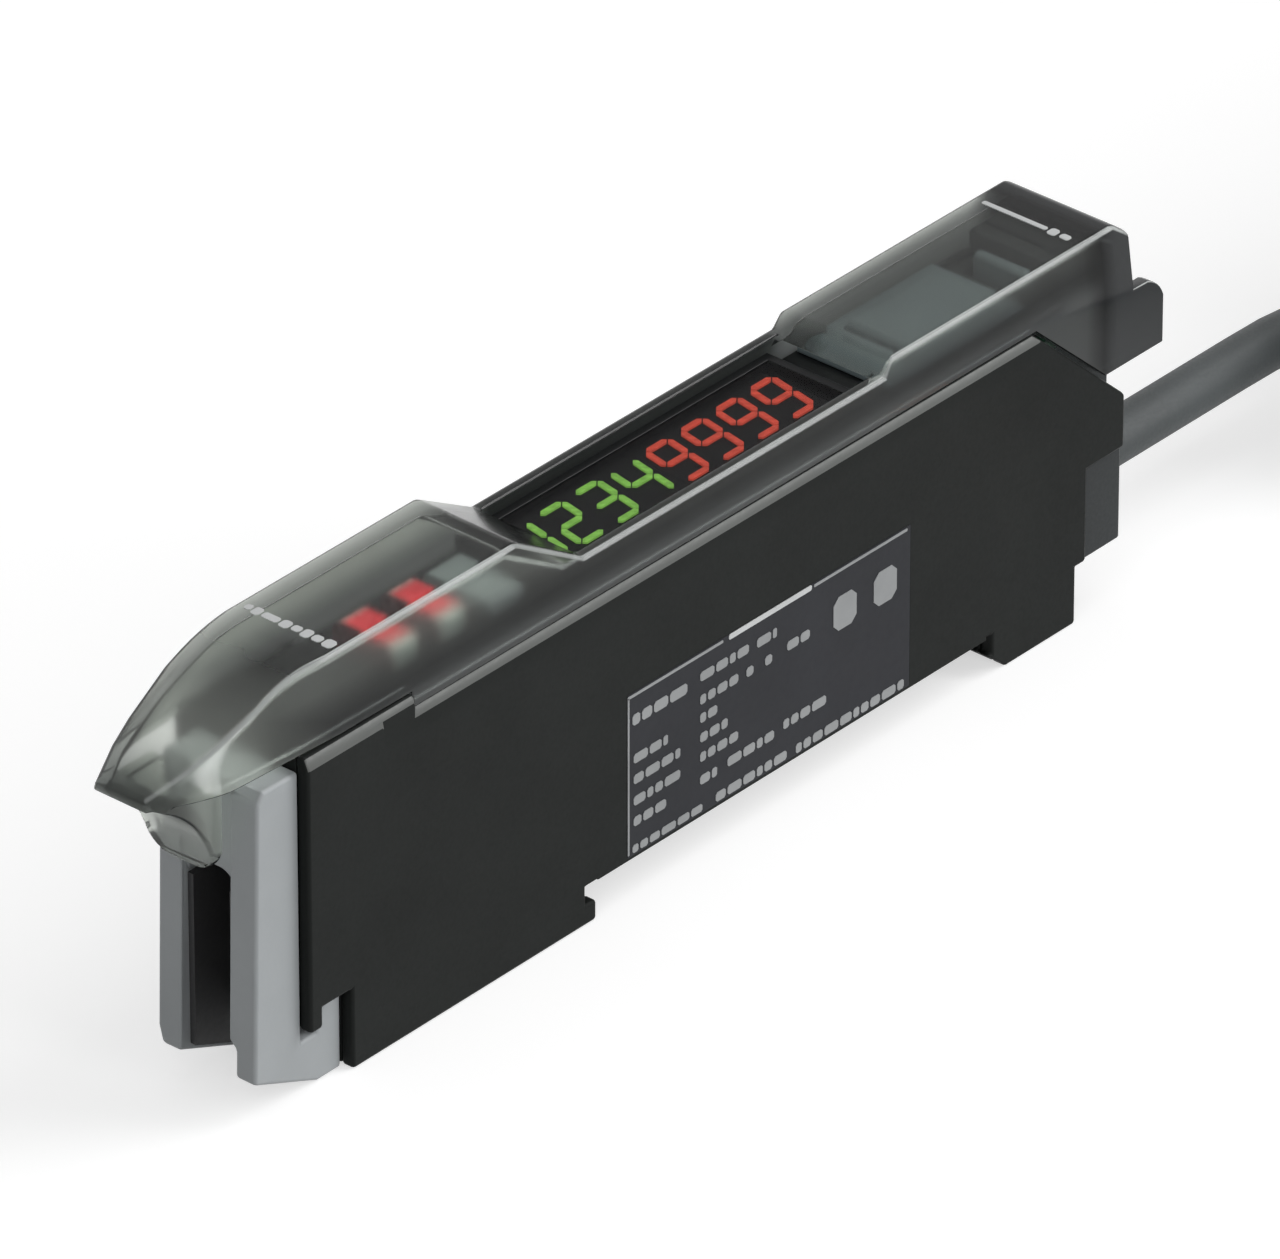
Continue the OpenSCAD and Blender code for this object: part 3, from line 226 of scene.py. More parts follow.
class Nodes:
    """A material's node tree, with the few node kinds that this part uses."""

    def __init__(self, name):
        self.material = bpy.data.materials.new(name)
        self.material.use_nodes = True
        self.tree = self.material.node_tree
        self.shader = self.tree.nodes["Principled BSDF"]
        self.output = self.tree.nodes["Material Output"]
        self.place = self.add("ShaderNodeTexCoord").outputs["Object"]

    def add(self, kind, **settings):
        node = self.tree.nodes.new(kind)
        for key, value in settings.items():
            setattr(node, key, value)
        return node

    def wire(self, a, b):
        self.tree.links.new(a, b)

    def drive(self, **sources):
        """Links the shader's inputs, which are named with _ in place of each space."""
        for name, source in sources.items():
            self.wire(source, self.shader.inputs[name.replace("_", " ")])

    def fix(self, **values):
        """Sets the shader's inputs, which are named with _ in place of each space."""
        for name, value in values.items():
            self.shader.inputs[name.replace("_", " ")].default_value = value

    def parts(self, coordinates):
        """The X, Y and Z of a kind of texture coordinates."""
        split = self.add("ShaderNodeSeparateXYZ")
        self.wire(self.add("ShaderNodeTexCoord").outputs[coordinates], split.inputs["Vector"])
        return split.outputs

    def scaled_place(self, size, stretch=(1, 1, 1)):
        """The place on the object, in units of the given size in millimetres."""
        mapping = self.add("ShaderNodeMapping")
        mapping.inputs["Scale"].default_value = [s / (size * MM) for s in stretch]
        self.wire(self.place, mapping.inputs["Vector"])
        return mapping.outputs["Vector"]

    def noise(self, size, detail=3.0, stretch=(1, 1, 1)):
        """Soft random patches of about the given size, in millimetres."""
        noise = self.add("ShaderNodeTexNoise")
        noise.inputs["Scale"].default_value = 1
        noise.inputs["Detail"].default_value = detail
        self.wire(self.scaled_place(size, stretch), noise.inputs["Vector"])
        return noise.outputs["Fac"]

    def blend(self, factor, low, high, start=0.3, end=0.7):
        """Runs from one fixed colour to another as the factor goes from start to end."""
        ramp = self.add("ShaderNodeValToRGB")
        ramp.color_ramp.elements[0].position = start
        ramp.color_ramp.elements[0].color = low
        ramp.color_ramp.elements[1].position = end
        ramp.color_ramp.elements[1].color = high
        self.wire(factor, ramp.inputs["Fac"])
        return ramp.outputs["Color"]

    def between(self, factor, low, high, start=0.3, end=0.7):
        """Runs from one number to another as the factor goes from start to end."""
        node = self.add("ShaderNodeMapRange")
        node.inputs["From Min"].default_value = start
        node.inputs["From Max"].default_value = end
        node.inputs["To Min"].default_value = low
        node.inputs["To Max"].default_value = high
        self.wire(factor, node.inputs["Value"])
        return node.outputs["Result"]

    def mix(self, factor, a, b):
        """Runs from colour a to the colour source b as the factor goes from 0 to 1."""
        node = self.add("ShaderNodeMix", data_type="RGBA")
        self.wire(factor, node.inputs["Factor"])
        if isinstance(a, tuple):
            node.inputs["A"].default_value = a
        else:
            self.wire(a, node.inputs["A"])
        self.wire(b, node.inputs["B"])
        return node.outputs["Result"]

    def math(self, operation, *values):
        node = self.add("ShaderNodeMath", operation=operation)
        for value, socket in zip(values, node.inputs):
            self.wire(value, socket)
        return node.outputs["Value"]

    def least(self, first, *others):
        for other in others:
            first = self.math("MINIMUM", first, other)
        return first

    def bump(self, height, depth):
        """Relief of the given depth in millimetres."""
        node = self.add("ShaderNodeBump")
        node.inputs["Strength"].default_value = 1
        node.inputs["Distance"].default_value = depth * MM
        self.wire(height, node.inputs["Height"])
        self.drive(Normal=node.outputs["Normal"])


def plastic(name, colour, rough=0.45, grain=0.25, depth=0.004, spread=0.12, specular=0.4):
    """Moulded plastic: a fine sparked grain, with faint patches of lighter and darker colour."""
    n = Nodes(name)
    patches = n.noise(6, detail=4)
    fine = n.noise(grain, detail=2)
    n.drive(Base_Color=n.blend(patches, scaled(colour, 1 - spread), scaled(colour, 1 + spread)),
            Roughness=n.between(fine, rough - 0.06, rough + 0.06))
    n.bump(fine, depth)
    n.fix(Specular_IOR_Level=specular)
    return n.material


# Where the cover's look changes, softly from one place to the next, along X
NOSE_TIP = (-40.4 * MM, -37.5 * MM)
NOSE_HAZE = (-36 * MM, -31 * MM)
NOSE = (-34 * MM, -29 * MM)
FOOT_START = (-31 * MM, -28 * MM)
OPENING_START = (-9.5 * MM, -7.5 * MM)
OPENING_END = (16.5 * MM, 18.5 * MM)
HINGE = (34.6 * MM, 36.2 * MM)
SOLID_HINGE = (36.2 * MM, 37.4 * MM)
# Along Y
# The near half, whose rounded corners get a painted highlight
HIGHLIGHT_NEAR_HALF = (-0.5 * MM, 0.5 * MM)
# The far side, whose rail beside the display gets painted shade
SHADED_FAR_SIDE = (0.5 * MM, 1.5 * MM)
# Along Z
FOOT = (20.9 * MM, 22 * MM)
HOODS = (22.4 * MM, 24.4 * MM)
# Where a face turns from the roof to a side, as the normal's Y without its sign
SIDEWAYS = (0.6, 0.95)
# Where a face turns into a rounded corner, as the product of the normal's Y and Z. It is more than 0
# on corners that face up and away, and less than 0 on those that face up and near.
# Corners in this range get painted shade
SHADED_BACK_SLANT = (0.1, 0.32)
# Corners in this range get a painted highlight on the near half and painted shade on the far half
FRONT_SLANT_HIGHLIGHT_AND_SHADE = (-0.42, -0.3)


def cover_tint(n, place, patches):
    """Clear in the hoods and the nose, smokier below, grey at the nose's tip, dark at the hinge.

    The far rail beside the display gets painted shade.
    """
    clear = n.math("MAXIMUM", n.between(place["Z"], 0, 1, *HOODS),
                   n.between(place["X"], 1, 0, *NOSE))
    colour = n.mix(clear, n.blend(patches, srgb(128, 131, 131), srgb(138, 141, 141)),
                   n.blend(patches, srgb(228, 232, 226), srgb(240, 244, 238)))
    # Painted shade on the far rail beside the display
    far_rail_painted_shade = n.least(n.between(place["X"], 0, 1, *OPENING_START),
                       n.between(place["X"], 1, 0, *OPENING_END),
                       n.between(place["Y"], 0, 1, *SHADED_FAR_SIDE))
    colour = n.mix(far_rail_painted_shade, colour, n.blend(patches, srgb(50, 53, 52), srgb(58, 61, 60)))
    hinge = n.between(place["X"], 0, 1, *HINGE)
    colour = n.mix(hinge, colour, n.blend(patches, srgb(56, 58, 59), srgb(62, 64, 65)))
    tip = n.between(place["X"], 1, 0, *NOSE_TIP)
    return n.mix(tip, colour, n.blend(patches, srgb(142, 146, 143), srgb(150, 154, 151)))


def painted_corner_shade_and_highlight(n, place, facing):
    """Painted shade on corners that face up and away, and on the far half's corners that face up and
    near; a painted highlight on the near half's ones.
    """
    slant = n.math("MULTIPLY", facing["Y"], facing["Z"])
    front = n.between(slant, 1, 0, *FRONT_SLANT_HIGHLIGHT_AND_SHADE)
    light = n.math("MULTIPLY", front, n.between(place["Y"], 1, 0, *HIGHLIGHT_NEAR_HALF))
    dark = n.math("MAXIMUM", n.between(slant, 0, 1, *SHADED_BACK_SLANT),
                  n.math("SUBTRACT", front, light))
    return dark, light


def smoke_clear():
    """Smoke-tinted plastic that darkens with its thickness, and is nearly opaque at its hinge.

    Its roof is polished. Its sides are etched, so that they are hazy, most at their foot, and blur
    what is behind them. Its thin walls bend light little, and a coat gives them their shine. Its
    shadow is faint, so that light reaches what is under it.
    """
    n = Nodes("smoke_clear")
    place = n.parts("Object")
    facing = n.parts("Normal")
    patches = n.noise(9, detail=2)
    # Painted shade and a painted highlight on the rounded corners
    dark, light = painted_corner_shade_and_highlight(n, place, facing)
    # Near-black painted shade on the corners
    colour = n.mix(dark, cover_tint(n, place, patches),
                   n.blend(patches, srgb(7, 8, 8), srgb(11, 12, 12)))
    # A pale painted highlight along the near corners
    colour = n.mix(light, colour, n.blend(patches, srgb(170, 173, 172), srgb(188, 192, 190)))
    sideways = n.math("ABSOLUTE", facing["Y"])
    foot = n.math("MAXIMUM", n.between(place["Z"], 0.8, 1, *FOOT),
                  n.between(place["X"], 1, 0, *FOOT_START))
    # Less clear where the painted highlight lies
    clearness = n.least(n.between(light, 1, 0.45, 0, 1), n.between(sideways, 1, 0.965, *SIDEWAYS),
                        foot, n.between(place["X"], 0.93, 1, *NOSE_HAZE))
    behind = n.between(place["X"], 1, 0.3, *SOLID_HINGE)
    etching = n.math("ADD", n.between(sideways, 0.18, 0.6, *SIDEWAYS),
                     n.between(place["X"], 0.15, 0, *NOSE))
    n.drive(Base_Color=colour, Transmission_Weight=n.math("MULTIPLY", behind, clearness),
            Roughness=n.math("ADD", etching, n.between(n.noise(4), 0, 0.05)))
    n.fix(IOR=1.08, Coat_Weight=0.42, Coat_Roughness=0.12, Coat_IOR=1.45)
    smoke = n.add("ShaderNodeVolumeAbsorption")
    smoke.inputs["Color"].default_value = (0.03, 0.05, 0.04, 1)
    smoke.inputs["Density"].default_value = 330
    n.wire(smoke.outputs["Volume"], n.output.inputs["Volume"])
    clear = n.add("ShaderNodeBsdfTransparent")
    clear.inputs["Color"].default_value = (0.9, 0.91, 0.9, 1)
    surface = n.add("ShaderNodeMixShader")
    n.wire(n.add("ShaderNodeLightPath").outputs["Is Shadow Ray"], surface.inputs["Fac"])
    n.wire(n.shader.outputs["BSDF"], surface.inputs[1])
    n.wire(clear.outputs["BSDF"], surface.inputs[2])
    n.wire(surface.outputs["Shader"], n.output.inputs["Surface"])
    return n.material


def window_tint():
    """Dark window, clear enough to show the lit digits."""
    n = Nodes("window_tint")
    n.drive(Base_Color=n.blend(n.noise(5), srgb(10, 10, 12), srgb(18, 18, 20)),
            Roughness=n.between(n.noise(2), 0.08, 0.14))
    n.fix(Alpha=0.3, Specular_IOR_Level=0.1)
    return n.material


def glowing(name, colour, strength):
    """A lit segment, a little uneven as light pipes are."""
    n = Nodes(name)
    uneven = n.noise(0.6, detail=2)
    n.drive(Emission_Color=n.blend(uneven, scaled(colour, 0.8), scaled(colour, 1.15)),
            Base_Color=n.blend(uneven, scaled(colour, 0.25), scaled(colour, 0.4)))
    n.fix(Emission_Strength=strength, Roughness=0.5)
    return n.material


def lamp_red():
    """A pale light pipe that glows red in the middle of its width. Its front and rear are dark."""
    n = Nodes("lamp_red")
    clouds = n.noise(0.9)
    off_centre = n.math("ABSOLUTE", n.parts("Object")["Y"])
    glow = n.between(off_centre, 1, 0, 1.2 * MM, 1.95 * MM)
    # From -1 at the lamp's front face to 1 at its rear one
    lengthwise = n.between(n.parts("Generated")["X"], -1, 1, 0, 1)
    middle = n.between(n.math("ABSOLUTE", lengthwise), 1, 0, 0.62, 0.99)
    body = n.mix(glow, n.blend(clouds, srgb(138, 148, 142), srgb(160, 168, 162)),
                 n.blend(clouds, srgb(180, 18, 34), srgb(218, 40, 52)))
    light = n.blend(clouds, srgb(206, 20, 36), srgb(244, 50, 60))
    n.drive(Base_Color=n.mix(middle, n.blend(clouds, srgb(62, 12, 18), srgb(80, 16, 22)), body),
            Roughness=n.between(clouds, 0.2, 0.35),
            Emission_Color=n.mix(n.math("MULTIPLY", glow, middle), grey(0), light))
    n.fix(Emission_Strength=0.36)
    return n.material


def metal(name, colour, rough=0.25):
    """Drawn metal, with fine lines along Z."""
    n = Nodes(name)
    fine = n.noise(0.3, stretch=(1, 1, 6))
    n.drive(Base_Color=n.blend(fine, scaled(colour, 0.85), scaled(colour, 1.1)),
            Roughness=n.between(fine, rough - 0.08, rough + 0.1))
    n.fix(Metallic=1)
    return n.material


def circuit_board():
    """Green lacquer over copper tracks, which show as slightly lighter lines."""
    n = Nodes("circuit_board")
    tracks = n.add("ShaderNodeTexBrick")
    tracks.inputs["Scale"].default_value = 1
    tracks.inputs["Color1"].default_value = srgb(12, 34, 24)
    tracks.inputs["Color2"].default_value = srgb(15, 40, 28)
    tracks.inputs["Mortar"].default_value = srgb(26, 60, 42)
    tracks.inputs["Mortar Size"].default_value = 0.06
    n.wire(n.scaled_place(1.2), tracks.inputs["Vector"])
    n.drive(Base_Color=tracks.outputs["Color"], Roughness=n.between(n.noise(1.5), 0.25, 0.4))
    return n.material


# Plastics: the colour of each, and how else it differs from the plain one
PLASTICS = {
    "housing_black": (srgb(30, 32, 31), {"specular": 0.07}),
    # A lighter colour for the housing's slanting edge: a painted highlight
    "housing_edge_painted_highlight": (srgb(90, 92, 90), {"rough": 0.4, "depth": 0.001, "specular": 0.3}),
    "frame_grey": (srgb(160, 164, 166), {"rough": 0.5, "spread": 0.05}),
    "socket_black": (srgb(50, 50, 51), {"rough": 0.5}),
    "block_grey": (srgb(44, 47, 48), {"rough": 0.5, "specular": 0.2}),
    "deck_black": (srgb(20, 21, 22), {"rough": 0.35, "grain": 0.15, "specular": 0.12}),
    "key_blue_grey": (srgb(112, 122, 126), {"spread": 0.06}),
    "key_pale": (srgb(132, 140, 142), {"spread": 0.06}),
    "switch_black": (srgb(22, 22, 24), {"rough": 0.4}),
    "rubber_black": (srgb(30, 30, 30), {"rough": 0.7, "specular": 0.3}),
    "cable_grey": (srgb(66, 70, 71), {"rough": 0.55, "grain": 0.2, "depth": 0.006}),
    "label_dark": (srgb(41, 42, 46),
                   {"rough": 0.4, "grain": 0.5, "depth": 0.002, "specular": 0.12}),
    "label_light": (srgb(196, 198, 198), {"rough": 0.5, "spread": 0.1}),
    "label_pale": (srgb(146, 148, 149), {"rough": 0.5, "grain": 0.4}),
    "part_cream": (srgb(214, 210, 194), {"rough": 0.5}),
    "part_ochre": (srgb(188, 140, 60), {"rough": 0.4}),
    "core_brown_skin": (srgb(104, 62, 40), {"rough": 0.5}),
    "core_blue_skin": (srgb(36, 78, 170), {"rough": 0.5}),
    "core_black_skin": (srgb(28, 28, 28), {"rough": 0.5}),
    "core_white_skin": (srgb(226, 226, 220), {"rough": 0.5}),
}
MATERIALS = {name: plastic(name, colour, **details) for name, (colour, details) in PLASTICS.items()}
MATERIALS.update({
    "contact_gold": metal("contact_gold", srgb(224, 184, 92)),
    "copper_tin": metal("copper_tin", srgb(206, 140, 96)),
    "switch_steel": metal("switch_steel", srgb(190, 192, 192), rough=0.35),
    "digit_green": glowing("digit_green", srgb(136, 200, 82), 0.92),
    "digit_red": glowing("digit_red", srgb(214, 76, 56), 0.9),
    "lamp_red": lamp_red(),
    "window_tint": window_tint(),
    "circuit_board": circuit_board(),
    "smoke_clear": smoke_clear(),
})

# The CAD nodes that keep their own shape, with the material of each
NODE_LOOKS = {
    "sensor_socket": "socket_black", "socket_contacts": "contact_gold",
    "cable_grommet": "rubber_black", "rating_label": "label_dark",
    "display_window": "window_tint", "display_block_green": "deck_black",
    "display_block_red": "deck_black", "green_digits": "digit_green", "red_digits": "digit_red",
    "output_lamp_front": "lamp_red", "output_lamp_rear": "lamp_red",
    "key_switches": "switch_steel", "slide_switch": "switch_black",
    "display_board": "circuit_board", "main_board": "circuit_board", "board_header": "switch_black",
    "processor": "switch_black", "analog_chip": "switch_black", "capacitors": "part_ochre",
    "power_coil": "switch_black", "cable_connector": "part_cream", "cable_tie": "rubber_black",
    "core_brown": "core_brown_skin", "core_blue": "core_blue_skin",
    "core_black": "core_black_skin", "core_white": "core_white_skin", "core_tips": "copper_tin",
}

for node, look in NODE_LOOKS.items():
    NODES[node].data.materials.clear()
    NODES[node].data.materials.append(MATERIALS[look])

make_cable(MATERIALS["cable_grey"])


# Moulded pieces, made from the CAD forms with their edges rounded

# Node: the piece's name, its material, the record's slot, and its edges' rounding in millimetres
MOULDED = {
    "main_case": ("case_shell", "housing_black", "black_housing", 0.2),
    "side_cover": ("side_plate", "housing_black", "black_housing", 0.2),
    "front_frame": ("sensor_frame", "frame_grey", "grey_frame", 0.25),
    "rear_block": ("cable_block", "block_grey", "rear_block_grey", 0.2),
    "top_deck": ("deck_panel", "deck_black", "deck_black", 0.08),
    "key_bezel": ("key_surround", "key_blue_grey", "bezel_grey", 0.08),
    "rocker_key": ("rocker_cap", "key_blue_grey", "key_grey", 0.12),
    "set_key": ("set_cap", "key_pale", "key_grey", 0.12),
    "slide_knob": ("selector_knob", "key_blue_grey", "knob_grey", 0.08),
    "dust_cover": ("clear_cover", "smoke_clear", "cover_smoke", 0.36),
}
# Points nearer together than the first, and faces that turn less than the second, become one
SAME_POINT = 0.03 * MM
SAME_FACE = math.radians(1)
# Edges that turn more than the first are rounded, and unrounded ones over the second look sharp
ROUNDED = math.radians(25)
SHARP = math.radians(35)
# Edges that meet at more than this run on into each other
RUNS_ON = math.radians(140)
# The part of the room beside an edge that its rounding may take
ROOM_SHARE = 0.45
# Shares of the full rounding below this become none
LEAST_SHARE = 0.15
SHARE_PASSES = 4
# The cover's foot: its levels, how far it settles toward the housing, and its share of the rounding
FOOT_LEVELS = (20.7 * MM, 21.5 * MM)
LEVEL_SLACK = 0.02 * MM
SETTLE = 0.07 * MM
FOOT_TOP = 21.6 * MM
FOOT_FRONT = -31 * MM
FOOT_SHARE = 0.25
# A face is the housing's slanting edge, which gets a painted highlight, where its normal's Y,
# without its sign, and Z are over these
HIGHLIT_EDGE_Y = 0.8
HIGHLIT_EDGE_Z = 0.25


def beside(edge):
    """The edges that share an end and a face with this one, each with the angle between the two."""
    for end in edge.verts:
        along = edge.other_vert(end).co - end.co
        for near in end.link_edges:
            if near is not edge and any(face in edge.link_faces for face in near.link_faces):
                yield near, along.angle(near.other_vert(end).co - end.co)


def room_beside(edge):
    """The least distance over which the faces on both sides of the edge run on."""
    faces = [face.calc_area() / edge.calc_length() for face in edge.link_faces]
    return min(faces + [near.calc_length() * math.sin(turn) for near, turn in beside(edge)
                        if turn < RUNS_ON])


def at_foot(edge):
    return (max(end.co.z for end in edge.verts) < FOOT_TOP
            and min(end.co.x for end in edge.verts) > FOOT_FRONT)


def rounding_shares(form, width, is_cover):
    """How much of the rounding each edge gets: less where there is little room, or where it runs on
    into an edge with less, or at the foot of the cover.
    """
    shares = {edge: 0 for edge in form.edges}
    for edge in form.edges:
        if edge.calc_face_angle() > ROUNDED:
            shares[edge] = min(1, ROOM_SHARE * room_beside(edge) / width)
            if is_cover and at_foot(edge):
                shares[edge] *= FOOT_SHARE
    for _ in range(SHARE_PASSES):
        for edge, share in shares.items():
            for near, turn in beside(edge):
                if turn >= RUNS_ON:
                    room = near.calc_length() * math.sin(turn)
                    share = min(share, shares[near] + ROOM_SHARE * room / width)
            shares[edge] = share if share > LEAST_SHARE else 0
    return shares


def clean_copy(node, width):
    """The CAD form as one closed mesh, with a weight on each edge that is to be rounded."""
    is_cover = node == "dust_cover"
    mesh = NODES[node].data.copy()
    form = bmesh.new()
    form.from_mesh(mesh)
    bmesh.ops.remove_doubles(form, verts=form.verts, dist=SAME_POINT)
    bmesh.ops.dissolve_limit(form, angle_limit=SAME_FACE, verts=form.verts, edges=form.edges)
    if is_cover:
        for vertex in form.verts:
            if any(abs(vertex.co.z - level) < LEVEL_SLACK for level in FOOT_LEVELS):
                vertex.co.z -= SETTLE
    weight = form.edges.layers.float.new("bevel_weight_edge")
    for edge, share in rounding_shares(form, width, is_cover).items():
        edge[weight] = share
        edge.smooth = share > 0 or edge.calc_face_angle() < SHARP
    for face in form.faces:
        face.smooth = True
    form.to_mesh(mesh)
    form.free()
    return mesh


def paint_edge_highlight(mesh):
    """The housing's slanting edge is a little smoother than its sides, and lighter: a painted
    highlight.
    """
    mesh.materials.append(MATERIALS["housing_edge_painted_highlight"])
    for face in mesh.polygons:
        if abs(face.normal.y) > HIGHLIT_EDGE_Y and face.normal.z > HIGHLIT_EDGE_Z:
            face.material_index = 1


def make_moulded(node, name, look, slot, width):
    piece = link(name, clean_copy(node, width), NODES[node]["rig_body"], MATERIALS[look])
    rounding = piece.modifiers.new("rounded_edges", "BEVEL")
    rounding.width = width
    rounding.segments = 3 if width > 0.2 * MM else 2
    rounding.limit_method = "WEIGHT"
    rounding.use_clamp_overlap = False
    flat = piece.modifiers.new("flat_faces", "WEIGHTED_NORMAL")
    flat.keep_sharp = True
    # The housing's slanting edge gets a painted highlight
    if look == "housing_black":
        paint_edge_highlight(piece.data)
    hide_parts(node)


for node, (name, look, slot, width) in MOULDED.items():
    make_moulded(node, name, look, slot, width * MM)


# Printed fields, as thin raised bars

# On the label, in the plane of the near side: first and last X, first and last Z, in millimetres
LABEL_BARS = [
    # The rule down the front end and the one along the top
    (-5.5, -5.36, 2.85, 13.1), (-5.5, 2.6, 13.02, 13.2), (10.4, 18.5, 13.02, 13.2),
    # Lines of print
    (-5.1, -0.45, 11.15, 11.85), (-5.0, -2.1, 8.65, 9.25), (-5.0, -1.05, 7.3, 7.9),
    (-5.0, -1.05, 5.9, 6.5), (-5.0, -2.25, 4.55, 5.15), (-5.1, 0.85, 2.85, 3.35),
    (0.65, 4.8, 11.35, 11.95), (0.65, 3.9, 9.85, 10.45), (4.6, 5.2, 9.8, 10.4),
    (6.2, 6.8, 9.8, 10.4), (5.5, 7.2, 11.3, 11.9), (8.1, 10.05, 9.9, 10.5),
    (0.65, 2.1, 8.65, 9.25), (0.65, 3.0, 7.37, 7.97), (0.65, 3.9, 6.1, 6.7),
    (0.65, 2.1, 4.6, 5.2), (3.0, 7.0, 4.7, 5.3), (7.8, 11.5, 4.9, 5.5),
    (2.0, 8.1, 2.85, 3.45), (8.9, 18.3, 2.8, 3.4),
    # Two plain fields
    (12.1, 14.1, 9.2, 11.4), (15.6, 17.6, 9.2, 11.4),
]
# The bright part of the rule along the top
BRIGHT_BARS = [(3.1, 10.2, 12.95, 13.3)]
LABEL_Y = -4.9 * MM
# On the cover's roofs: first and last Y, first and last X, in millimetres
CREST_BARS = [
    (2.6, 3.05, -28.15, -27.65), (1.9, 2.45, -28.3, -27.55), (0.6, 1.75, -28.2, -27.65),
    (-0.2, 0.45, -28.3, -27.55), (-0.95, -0.35, -28.15, -27.6), (-1.7, -1.1, -28.3, -27.5),
    (-2.5, -1.85, -28.2, -27.6), (-3.35, -2.65, -28.3, -27.5),
]
REAR_BARS = [(-1.5, 3.2, 34.5, 34.85), (-2.3, -1.7, 34.3, 35.0), (-3.2, -2.55, 34.4, 34.9)]
CREST_Z = 26.3 * MM
REAR_Z = 24.2 * MM
# Bars stand this far out of their surface, and reach as far into it
PRINT_H = 0.03 * MM
# The part of a bar's lesser side that each of its corners loses
CORNER_CUT = 0.22
# Bars of a height between these two, in millimetres, are lines of print and break into pieces. The
# pieces take their lengths from PRINT_RUNS, and a rest shorter than LEAST_REST joins the last one.
PRINT_LINE = (0.4, 1)
PRINT_RUNS = [0.85, 0.5, 1.2, 0.65, 1.0]
PRINT_SPACE = 0.16
LEAST_REST = 0.5


def broken(bars):
    """The bars, with each line of print as a row of pieces."""
    pieces = []
    for x0, x1, z0, z1 in bars:
        if not PRINT_LINE[0] < z1 - z0 < PRINT_LINE[1]:
            pieces.append((x0, x1, z0, z1))
            continue
        step = len(pieces)
        while x0 < x1:
            end = min(x1, x0 + PRINT_RUNS[step % len(PRINT_RUNS)])
            if x1 - end < LEAST_REST:
                end = x1
            pieces.append((x0, end, z0, z1))
            x0 = end + PRINT_SPACE
            step += 2
    return pieces


def bar_outline(x0, x1, z0, z1):
    """A rectangle with cut corners, counted round once."""
    cut = min(x1 - x0, z1 - z0) * CORNER_CUT
    return [(x0 + cut, z0), (x1 - cut, z0), (x1, z0 + cut), (x1, z1 - cut),
            (x1 - cut, z1), (x0 + cut, z1), (x0, z1 - cut), (x0, z0 + cut)]


def make_print(name, bars, place, node, look):
    """Bars as one piece on a node's body. The place makes a point of two lengths and a height."""
    form = bmesh.new()
    for bar in bars:
        outline = bar_outline(*[length * MM for length in bar])
        low = [form.verts.new(place(u, v, -PRINT_H)) for u, v in outline]
        high = [form.verts.new(place(u, v, PRINT_H)) for u, v in outline]
        form.faces.new(low[::-1])
        form.faces.new(high)
        for i in range(len(outline)):
            j = (i + 1) % len(outline)
            form.faces.new((low[i], low[j], high[j], high[i]))
    bmesh.ops.recalc_face_normals(form, faces=form.faces)
    mesh = bpy.data.meshes.new(name)
    form.to_mesh(mesh)
    form.free()
    link(name, mesh, NODES[node]["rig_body"], MATERIALS[look])


def on_label(x, z, rise):
    return (x, LABEL_Y - rise, z)


make_print("crest_print", CREST_BARS, lambda y, x, rise: (x, y, CREST_Z + rise), "dust_cover",
           "label_light")
make_print("rear_print", REAR_BARS, lambda y, x, rise: (x, y, REAR_Z + rise), "dust_cover",
           "label_light")
make_print("label_print", broken(LABEL_BARS), on_label, "rating_label", "label_pale")
make_print("label_rule", BRIGHT_BARS, on_label, "rating_label", "label_light")


# Light, floor and world

# Each light: its direction from the part, its height and width, and its share of the plain level
LIGHTS = {
    # A tall strip that the rounded edges along the part reflect
    "key_light": ((0.63, -0.52, 0.56), 1.1, 0.28, 0.72),
    # A low light that the sides of the nose reflect
    "side_light": ((0.05, -0.96, 0.2), 0.26, 0.26, 0.3),
    # Soft fills
    "front_fill": ((-0.75, -0.3, 0.6), 0.7, 0.7, 0.17),
    "top_fill": ((0.1, 0.2, 1), 0.8, 0.8, 0.12),
    "back_fill": ((-0.1, 0.95, 0.45), 0.7, 0.7, 0.1),
}
WORLD_LEVEL = 0.2
FLOOR_REACH = 4
FLOOR_Z = -0.02 * MM
# The floor as the object gets light from it, and as the camera sees it
FLOOR_BOUNCE = 0.45
FLOOR_PALE = 0.6
FLOOR_GLOW = 0.58


def area_light(name, direction, height, width, share):
    """A soft box, 1 m away. Its width runs as near along X as it can, and its height square to X.

    Its share is the part of the plain level that it gives to a surface facing it.
    """
    data = bpy.data.lights.new(name, "AREA")
    data.shape = "RECTANGLE"
    data.size = height
    data.size_y = width
    data.energy = share * math.pi ** 2
    light = bpy.data.objects.new(name, data)
    toward = Vector(direction).normalized()
    upward = Vector((1, 0, 0)).cross(toward).normalized()
    light.matrix_world = Matrix((upward, toward.cross(upward), toward)).transposed().to_4x4()
    light.location = toward
    SCENE.collection.objects.link(light)


def clear_tree(owner):
    owner.use_nodes = True
    owner.node_tree.nodes.clear()
    return owner.node_tree


def coloured(tree, kind, colour, strength=None):
    node = tree.nodes.new(kind)
    node.inputs["Color"].default_value = colour
    if strength is not None:
        node.inputs["Strength"].default_value = strength
    return node.outputs[0]


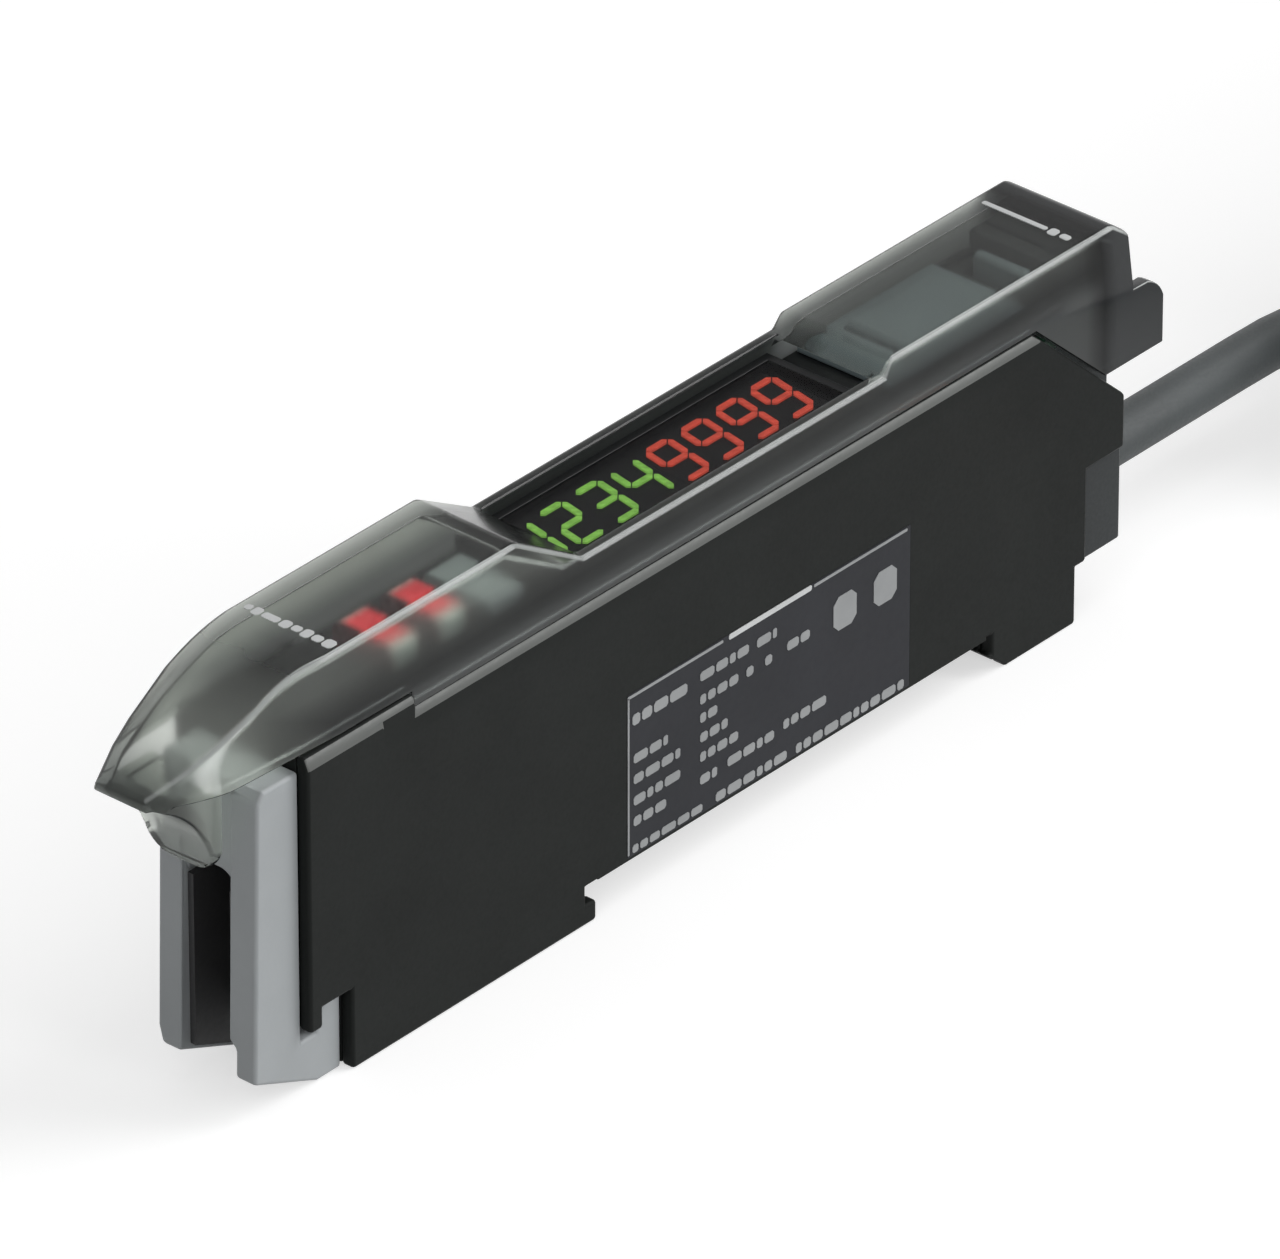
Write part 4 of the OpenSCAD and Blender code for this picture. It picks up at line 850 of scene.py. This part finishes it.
def seen_directly(tree):
    """1 for camera, glossy and transmission rays, and 0 for the rays that light the object."""
    path = tree.nodes.new("ShaderNodeLightPath")
    seen = path.outputs["Is Camera Ray"]
    for ray in ("Is Glossy Ray", "Is Transmission Ray"):
        either = tree.nodes.new("ShaderNodeMath")
        either.operation = "MAXIMUM"
        tree.links.new(seen, either.inputs[0])
        tree.links.new(path.outputs[ray], either.inputs[1])
        seen = either.outputs[0]
    return seen


def show(tree, output_kind, lighting, look):
    """Lights the object with one shader and shows another."""
    output = tree.nodes.new(output_kind)
    mix = tree.nodes.new("ShaderNodeMixShader")
    tree.links.new(seen_directly(tree), mix.inputs["Fac"])
    tree.links.new(lighting, mix.inputs[1])
    tree.links.new(look, mix.inputs[2])
    tree.links.new(mix.outputs[0], output.inputs["Surface"])


def make_world():
    world = bpy.data.worlds.new("studio")
    SCENE.world = world
    tree = clear_tree(world)
    show(tree, "ShaderNodeOutputWorld",
         coloured(tree, "ShaderNodeBackground", grey(1), WORLD_LEVEL),
         coloured(tree, "ShaderNodeBackground", grey(1)))


def make_floor():
    mesh = bpy.data.meshes.new("studio_floor")
    corners = [(-FLOOR_REACH, -FLOOR_REACH, 0), (FLOOR_REACH, -FLOOR_REACH, 0),
               (FLOOR_REACH, FLOOR_REACH, 0), (-FLOOR_REACH, FLOOR_REACH, 0)]
    mesh.from_pydata(corners, [], [(0, 1, 2, 3)])
    floor = bpy.data.objects.new("studio_floor", mesh)
    floor.location.z = FLOOR_Z
    SCENE.collection.objects.link(floor)
    material = bpy.data.materials.new("studio_floor")
    tree = clear_tree(material)
    white = tree.nodes.new("ShaderNodeAddShader")
    tree.links.new(coloured(tree, "ShaderNodeBsdfDiffuse", grey(FLOOR_PALE)), white.inputs[0])
    tree.links.new(coloured(tree, "ShaderNodeEmission", grey(1), FLOOR_GLOW), white.inputs[1])
    bounce = coloured(tree, "ShaderNodeBsdfDiffuse", grey(FLOOR_BOUNCE))
    show(tree, "ShaderNodeOutputMaterial", bounce, white.outputs[0])
    mesh.materials.append(material)


for name, (direction, height, width, share) in LIGHTS.items():
    area_light(name, direction, height, width, share)
make_world()
make_floor()

SCENE.view_settings.view_transform = "Standard"
